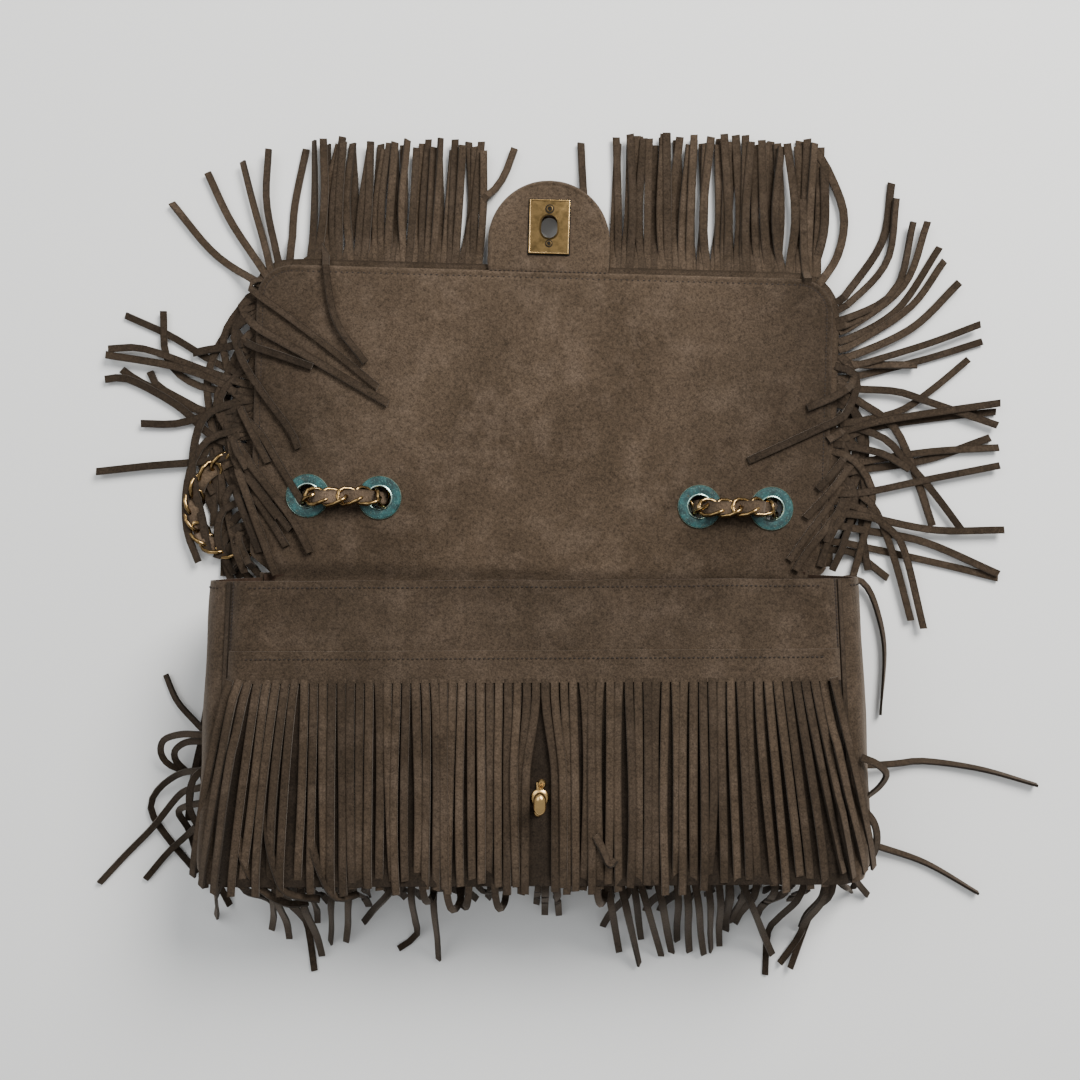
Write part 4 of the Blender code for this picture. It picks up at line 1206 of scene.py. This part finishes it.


# ------------------------------------------------------------- flap fringe
# Listed strips in millimetres on the floor plane, tip first.
END_STRIPS = (
    ((-181, 253), (-160, 228), (-138, 213)), ((-163, 268), (-151, 243), (-134, 218)),
    ((-145, 273), (-139, 249), (-131, 221)), ((-132, 279), (-133, 252), (-127, 223)),
    ((-114, 280), (-120, 250), (-121, 226)), ((-10, 280), (-17, 263), (-31, 246), (-33, 224)),
    ((23, 283), (24, 262), (26, 228)), ((140, 279), (147, 267), (154, 247), (151, 227), (141, 212)),
    ((144, 271), (144, 239), (137, 215)), ((133, 254), (134, 218)),
)
LEFT_STRIPS = (
    ((-204, 197), (-182, 187), (-162, 175), (-143, 166)), ((-185, 199), (-183, 175), (-168, 162), (-143, 158)),
    ((-212, 180), (-194, 180), (-163, 169), (-143, 162)), ((-213, 177), (-178, 171), (-156, 163), (-143, 154)),
    ((-206, 170), (-197, 164), (-173, 152), (-145, 141)),
    ((-214, 165), (-202, 165), (-178, 152), (-161, 137), (-145, 131)),
    ((-192, 169), (-188, 162), (-176, 155), (-164, 149), (-144, 144)),
    ((-218, 119), (-190, 122), (-166, 124), (-145, 128)),
    ((-155, 67), (-156, 117), (-161, 143), (-163, 166), (-155, 186), (-141, 200)),
    ((-131, 123), (-144, 148), (-151, 164), (-155, 184), (-149, 196), (-140, 204)),
    ((-116, 130), (-120, 139), (-134, 158), (-143, 172), (-149, 188), (-142, 197)),
    ((-114, 103), (-126, 123), (-136, 139), (-149, 150), (-143, 158)),
    ((-110, 78), (-120, 97), (-140, 123), (-149, 138), (-143, 148)),
    ((-135, 78), (-146, 107), (-152, 130), (-150, 143), (-143, 150)),
    ((-127, 68), (-134, 87), (-147, 123), (-151, 133), (-144, 138)),
    ((-155, 67), (-154, 86), (-149, 95), (-144, 99)),
    ((-77, 160), (-99, 178), (-120, 194), (-140, 209), (-136, 213)),
    ((-72, 152), (-94, 165), (-118, 179), (-137, 190), (-145, 200), (-139, 206)),
    ((-109, 170), (-126, 176), (-140, 181), (-148, 189), (-142, 194)),
    ((-83, 172), (-98, 194), (-104, 229), (-110, 224)), ((-122, 82), (-136, 104), (-149, 117), (-144, 122)),
    ((-143, 69), (-151, 92), (-153, 108), (-144, 112)), ((-149, 68), (-157, 84), (-155, 99), (-144, 104)),
    ((-138, 92), (-150, 112), (-155, 122), (-144, 125)), ((-160, 108), (-166, 122), (-160, 134), (-144, 136)),
    ((-146, 66), (-151, 76), (-144, 84)), ((-158, 76), (-152, 88), (-144, 92)),
    ((-141, 64), (-149, 76), (-144, 82)), ((-136, 66), (-146, 84), (-144, 90)),
    ((-150, 62), (-154, 78), (-144, 86)), ((-129, 104), (-142, 121), (-152, 141), (-156, 156), (-143, 170)),
    ((-147, 84), (-158, 110), (-160, 138), (-153, 160), (-143, 176)),
    ((-196, 143), (-178, 143), (-160, 148), (-144, 150)), ((-170, 178), (-160, 180), (-143, 182)),
    ((-167, 74), (-173, 92), (-172, 116), (-163, 134), (-144, 140)),
    ((-162, 70), (-165, 96), (-170, 120), (-164, 146), (-143, 154)),
    ((-160, 92), (-160, 116), (-158, 142), (-150, 166), (-142, 180)),
    ((-134, 84), (-143, 100), (-153, 118), (-157, 134), (-144, 146)),
    ((-150, 74), (-160, 98), (-166, 118), (-158, 126), (-144, 130)),
    ((-126, 96), (-138, 112), (-150, 128), (-154, 142), (-144, 160)),
    ((-120, 90), (-131, 104), (-146, 124), (-153, 136), (-144, 140)),
    ((-141, 120), (-150, 136), (-158, 152), (-152, 168), (-142, 186)),
)
RIGHT_STRIPS = (
    ((178, 263), (173, 233), (152, 204)), ((180, 255), (175, 223), (153, 200)),
    ((188, 243), (179, 209), (153, 194)), ((195, 243), (183, 211), (154, 189)),
    ((202, 231), (181, 200), (154, 184)), ((204, 224), (186, 200), (154, 180)),
    ((211, 213), (187, 190), (154, 175)), ((221, 192), (194, 182), (154, 170)),
    ((223, 184), (194, 175), (154, 165)), ((216, 175), (198, 160), (181, 149), (155, 143)),
    ((230, 142), (195, 154), (179, 159), (154, 160)), ((231, 153), (203, 149), (171, 144), (153, 139)),
    ((230, 149), (201, 146), (168, 141), (153, 135)), ((227, 136), (195, 125), (162, 120), (152, 118)),
    ((231, 131), (197, 129), (163, 124), (152, 122)), ((231, 122), (195, 115), (166, 109), (151, 108)),
    ((198, 92), (189, 119), (179, 141), (163, 153), (153, 156)),
    ((213, 89), (198, 109), (184, 125), (173, 136), (152, 143)), ((233, 90), (198, 90), (163, 97), (150, 98)),
    ((231, 66), (203, 73), (162, 82), (149, 84)), ((231, 68), (194, 84), (163, 90), (150, 92)),
    ((187, 45), (179, 75), (171, 97), (164, 106), (151, 112)),
    ((193, 41), (183, 81), (174, 92), (163, 100), (151, 104)),
    ((105, 124), (138, 139), (153, 147), (160, 164), (152, 170)),
    ((125, 75), (135, 89), (149, 108), (155, 123), (151, 134)),
    ((128, 70), (135, 81), (153, 103), (158, 117), (151, 126)),
    ((152, 70), (153, 84), (162, 104), (165, 133), (161, 147), (152, 152)),
    ((140, 72), (146, 88), (156, 104), (151, 114)), ((146, 70), (155, 90), (159, 108), (151, 118)),
    ((176, 66), (160, 78), (149, 80)), ((166, 70), (163, 92), (164, 116), (152, 124)),
    ((158, 66), (163, 84), (168, 108), (161, 122), (151, 128)),
    ((148, 92), (158, 110), (163, 128), (160, 146), (153, 154)), ((186, 120), (172, 128), (152, 132)),
    ((190, 172), (172, 172), (154, 172)), ((182, 214), (170, 200), (153, 191)),
    ((143, 84), (152, 104), (160, 116), (152, 122)), ((144, 134), (153, 140), (160, 152), (153, 162)),
    ((139, 110), (150, 122), (158, 136), (152, 146)), ((133, 96), (148, 112), (160, 128), (152, 138)),
    ((134, 150), (148, 156), (158, 164), (153, 174)),
)


def rest_height(q):
    """Height of whatever lies under a strip at a place near the flap."""
    w, u = flap_place(q.x, q.y)
    if u < -0.004:
        return 0.0009
    inside = rim_distance(w, u) if u < FLAP_LENGTH else -0.02
    if inside > -0.0012:
        return FLAP_FACE + 0.0008
    if abs(w - TAB_W) < TAB_HALF + 0.002 and FLAP_LENGTH - 0.004 < u < TAB_END - 0.004:
        return 0.0042
    return 0.0078 if inside > -0.0075 else 0.0009


def drape(tip_first, steps, layer):
    """Places of a strip from its sewn root to its tip, lying over whatever is under it."""
    places = smooth_route([Vector((x * MM, y * MM, 0)) for x, y in reversed(tip_first)], steps)
    reach = sum((b - a).length for a, b in zip(places, places[1:]))
    level = [rest_height(q) for q in places]
    soft = []
    for i in range(steps + 1):
        near = level[max(0, i - 2):i + 3]
        soft.append(max(level[i], sum(near) / len(near)))
    for i, q in enumerate(places):
        s = i / steps * reach
        lift = layer * ease(s / 0.02)
        if soft[i] > 0.005 and s > 0.004:
            q.z = max(soft[i] + lift, mix(ROOT_LEVEL, soft[i] + lift, ease(s / 0.012)))
        else:
            q.z = mix(ROOT_LEVEL, soft[i] + lift, ease(s / 0.018))
    return places


class FRINGEDBAG_OT_flap_fringe(bpy.types.Operator):
    """The flap's fringe: its end row and the tangled strips down both sides"""
    bl_idname = "fringed_bag.flap_fringe"
    bl_label = "Flap fringe"

    def lay(self, name, nodes, lines, seed, bodies, points, twist=0.18, broad=1.1, finish="suede dark strip"):
        p = settings()
        rng = random.Random(p.seed + seed)
        bm = bmesh.new()
        for k, line in enumerate(lines):
            (ax, ay), (bx, by) = line[-2:]
            far = hypot(bx - ax, by - ay)
            if points:
                line = (*line, (bx + (bx - ax) / far * 4.5, by + (by - ay) / far * 2.0))
            turn = max(-1.0, min(1.0, rng.gauss(0, twist)))
            steps = max(10, int(sum(hypot(a[0] - b[0], a[1] - b[1]) for a, b in zip(line, line[1:])) / 5.5))
            places = drape(line, steps, (k % 4) * 0.0011 + rng.uniform(0, 0.0004))
            for i, q in enumerate(places):
                q.z += abs(sin(turn)) * p.strip_width * 0.42 * i / steps
                if points and rim_distance(*flap_place(q.x, q.y)) > -0.012:
                    q.z = min(q.z, FLAP_FACE + 0.0009 + (k % 5) * (0.0004 if name.startswith("left") else 0.0002))
            cut_strip(
                bm, places, p.strip_width * broad * rng.uniform(0.92, 1.06), p.strip_thickness, (0, turn),
                rng.random(), 0.0002 * rng.uniform(-1, 1), notch=rng.uniform(-0.0006, 0.0006))
        piece = finish_piece(bm, name, [finish_of(finish)], None if points else bodies, nodes)
        if points:
            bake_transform(piece)
        return piece

    def execute(self, context):
        rng = random.Random(settings().seed + 9)
        rows = {"left": [], "right": []}
        for side, low, high, count in (("left", -0.1165, -0.0335, 30), ("right", 0.0335, 0.1345, 42)):
            for i in range(count):
                w = mix(low, high, i / (count - 1)) + rng.uniform(-0.0006, 0.0006)
                reach = FLAP_LENGTH + 0.063 + rng.uniform(-0.003, 0.003) + (0.006 if side == "right" else 0.0)
                lean = rng.gauss(0.0015 if side == "left" else -0.0005, 0.0018)
                belly = rng.gauss(0, 0.0016)
                tip, middle, foot = on_flap(w + lean, reach), on_flap(
                    w + lean * 0.4 + belly, FLAP_LENGTH + 0.032), on_flap(w, FLAP_LENGTH + 0.0012)
                rows[side].append([(q.x / MM, q.y / MM) for q in (tip, middle, foot)])
        ends = [(*line, tuple(b * 1.25 - a * 0.25 for a, b in zip(*line[-2:]))) for line in END_STRIPS]
        self.lay(
            "end_strips_left", ["flap_fringe_end_left"], [*ends[:6], *rows["left"]], 4, "flap_front", None, 0.36, 1.1,
            "suede strip")
        self.lay(
            "end_strips_right", ["flap_fringe_end_right"], [*ends[6:], *rows["right"]], 5, "flap_front", None, 0.22,
            1.18, "suede strip")
        for side, lines, seed in (("left", LEFT_STRIPS, 6), ("right", RIGHT_STRIPS, 7)):
            near = [line for line in lines if flap_place(line[-1][0] * MM, line[-1][1] * MM)[1] < TOP_LENGTH]
            far = [tuple((x, max(y, 79.0)) for x, y in line) for line in lines if line not in near]
            self.lay(
                f"{side}_strips_near_fold", [f"flap_fringe_{side}_top"], near, seed, ("bag_body", "flap_top"),
                ROOT_BAND)
            self.lay(
                f"{side}_strips_far", [f"flap_fringe_{side}_front"], far, seed + 10, ("flap_top", "flap_front"),
                FOLD_BAND)
        return {"FINISHED"}


# ------------------------------------------------------------------- strap
# The strap's long runs under the flap, as (width, reach) places on it.
OUTER_RUN = (
    (-0.1141, 0.0318), (-0.1180, 0.0430), (-0.1330, 0.0500), (-0.1500, 0.0500), (-0.1645, 0.0420),
    (-0.1720, 0.0270), (-0.1675, 0.0110), (-0.1540, 0.0040), (-0.1300, 0.0065), (-0.0900, 0.0065),
    (-0.0500, 0.0085), (0.0, 0.0070), (0.0500, 0.0085), (0.0900, 0.0065), (0.1180, 0.0090), (0.1320, 0.0200),
    (0.1330, 0.0360), (0.1250, 0.0440), (0.1150, 0.0400), (0.1141, 0.0318),
)
INNER_RUN = (
    (-0.0787, 0.0318), (-0.0790, 0.0480), (-0.0680, 0.0580), (-0.0560, 0.0500), (-0.0520, 0.0330),
    (-0.0400, 0.0225), (-0.0275, 0.0330), (-0.0240, 0.0500), (-0.0120, 0.0590), (0.0, 0.0500), (0.0040, 0.0330),
    (0.0160, 0.0225), (0.0280, 0.0330), (0.0320, 0.0500), (0.0440, 0.0590), (0.0560, 0.0540), (0.0640, 0.0440),
    (0.0760, 0.0400), (0.0787, 0.0318),
)


# The short runs between two eyelets: how far out their middle is, and (width, height) places of the arch.
ARCH_W = 0.0964
ARCH = (
    (-0.0177, 0.0045), (-0.0177, 0.0090), (-0.0150, 0.0128), (-0.0095, 0.0146), (0.0, 0.0150),
    (0.0095, 0.0146), (0.0150, 0.0128), (0.0177, 0.0090), (0.0177, 0.0045),
)


def outward_of(here, ahead):
    """The way that a strap's face looks: up, or towards the bag's middle where the strap is steep."""
    return Vector((0, 0, 1)) if abs(ahead.z) < 0.75 else Vector((1 if here.x < 0 else -1, 0, 0.3))


def chain_link(bm, here, ahead, up, wire):
    """One curb link: a bent ring of round wire turned about the chain's line."""
    side = ahead.cross(up).normalized()
    top = side.cross(ahead).normalized()
    across = side * cos(LINK_TURN) + top * sin(LINK_TURN)
    through = top * cos(LINK_TURN) - side * sin(LINK_TURN)
    link = bmesh.new()
    bmesh.ops.create_circle(
        link, segments=6, radius=wire / 2, cap_ends=False,
        matrix=Matrix.Translation((1, 0, 0)) @ Matrix.Rotation(pi / 2, 4, "X"))
    bmesh.ops.spin(
        link, geom=list(link.verts) + list(link.edges), cent=(0, 0, 0), axis=(0, 0, 1), angle=tau, steps=12,
        use_merge=True)
    for v in link.verts:
        a, out, z = atan2(v.co.y, v.co.x), hypot(v.co.x, v.co.y) - 1, v.co.z
        x, y = (LINK_HALF_LONG + out) * cos(a), (LINK_HALF_WIDE + out) * sin(a)
        bend = wire * 0.75 * sin(2 * a)
        v.co = here + ahead * x + across * y + through * (z + bend)
    join_bmesh(bm, link)


class FRINGEDBAG_OT_strap(bpy.types.Operator):
    """The brass curb chain strap with its suede lace, through the eyelets and under the flap"""
    bl_idname = "fringed_bag.strap"
    bl_label = "Chain strap"

    def run(self, name, route, nodes, rise=0.0015):
        p = settings()
        length = sum((b - a).length for a, b in zip(route, route[1:]))
        steps = max(24, int(length / 0.0025))
        places = smooth_route(route, steps)
        total = sum((b - a).length for a, b in zip(places, places[1:]))
        count = max(2, round(total / LINK_PITCH))
        bm = bmesh.new()
        for i in range(count):
            t = (i + 0.5) / count
            here, ahead = along(places, t)
            chain_link(bm, here, ahead, outward_of(here, ahead), p.chain_wire)
        for v in bm.verts:
            v.co.z = max(v.co.z, LEAST_LEVEL)
        finish_piece(bm, f"{name}_chain", [finish_of("chain brass")], "flap_top", nodes, crease=60)
        bm = bmesh.new()
        lace = []
        fine = max(20, count * 8)
        for i in range(fine + 1):
            here, ahead = along(places, i / fine)
            side = ahead.cross(outward_of(here, ahead)).normalized()
            top = side.cross(ahead).normalized()
            lace.append(here + top * (rise * sin(i / fine * count * pi + pi / 2) + rise * 0.25))
        cut_strip(bm, lace, LACE_WIDTH, LACE_THICKNESS, tone=0.6)
        finish_piece(bm, f"{name}_lace", [finish_of("suede lace")], "flap_top", crease=60)

    def execute(self, context):
        for name, route, node in (
                ("strap_outer", OUTER_RUN, "strap_run_outer"), ("strap_inner_hidden", INNER_RUN, "strap_run_inner")):
            self.run(name, [on_flap(w, u, STRAP_LEVEL) for w, u in route], [node])
        for name, side, node in (("strap_left", -1, "strap_inner_left"), ("strap_right", 1, "strap_inner_right")):
            route = [on_flap(side * ARCH_W + w, EYELET_U + 0.0006 * sin(w * 190), z) for w, z in ARCH]
            self.run(name, route, [node], rise=0.0021)
        return {"FINISHED"}


# ----------------------------------------------------------- CAD finishes
def finish_carried_node():
    """The one CAD part that still shows, the lock's back washer, gets a detailed finish in its slot."""
    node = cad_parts["lock_washer"]
    node.data.materials.clear()
    node.data.materials.append(finish_of("rim brass"))


OPERATORS = (
    FRINGEDBAG_OT_stage, FRINGEDBAG_OT_body, FRINGEDBAG_OT_front_fringe, FRINGEDBAG_OT_lower_fringe,
    FRINGEDBAG_OT_side_fringes, FRINGEDBAG_OT_lock, FRINGEDBAG_OT_flap, FRINGEDBAG_OT_tab, FRINGEDBAG_OT_eyelets,
    FRINGEDBAG_OT_flap_fringe, FRINGEDBAG_OT_strap,
)


class FRINGEDBAG_PT_panel(bpy.types.Panel):
    """Settings and build steps of the fringed bag"""
    bl_idname = "FRINGEDBAG_PT_panel"
    bl_label = "Fringed Bag"
    bl_space_type = "VIEW_3D"
    bl_region_type = "UI"
    bl_category = "Fringed Bag"

    def draw(self, context):
        for name in FringedBagSettings.__annotations__:
            self.layout.prop(context.scene.fringed_bag, name)
        for operator in OPERATORS:
            self.layout.operator(operator.bl_idname)


CLASSES = (FringedBagSettings, *OPERATORS, FRINGEDBAG_PT_panel)


def register():
    for cls in CLASSES:
        bpy.utils.register_class(cls)
    bpy.types.Scene.fringed_bag = PointerProperty(type=FringedBagSettings)


def unregister():
    del bpy.types.Scene.fringed_bag
    for cls in reversed(CLASSES):
        bpy.utils.unregister_class(cls)


def main():
    register()
    for operator in OPERATORS:
        group, name = operator.bl_idname.split(".")
        getattr(getattr(bpy.ops, group), name)()
    finish_carried_node()


if __name__ == "__main__":
    main()
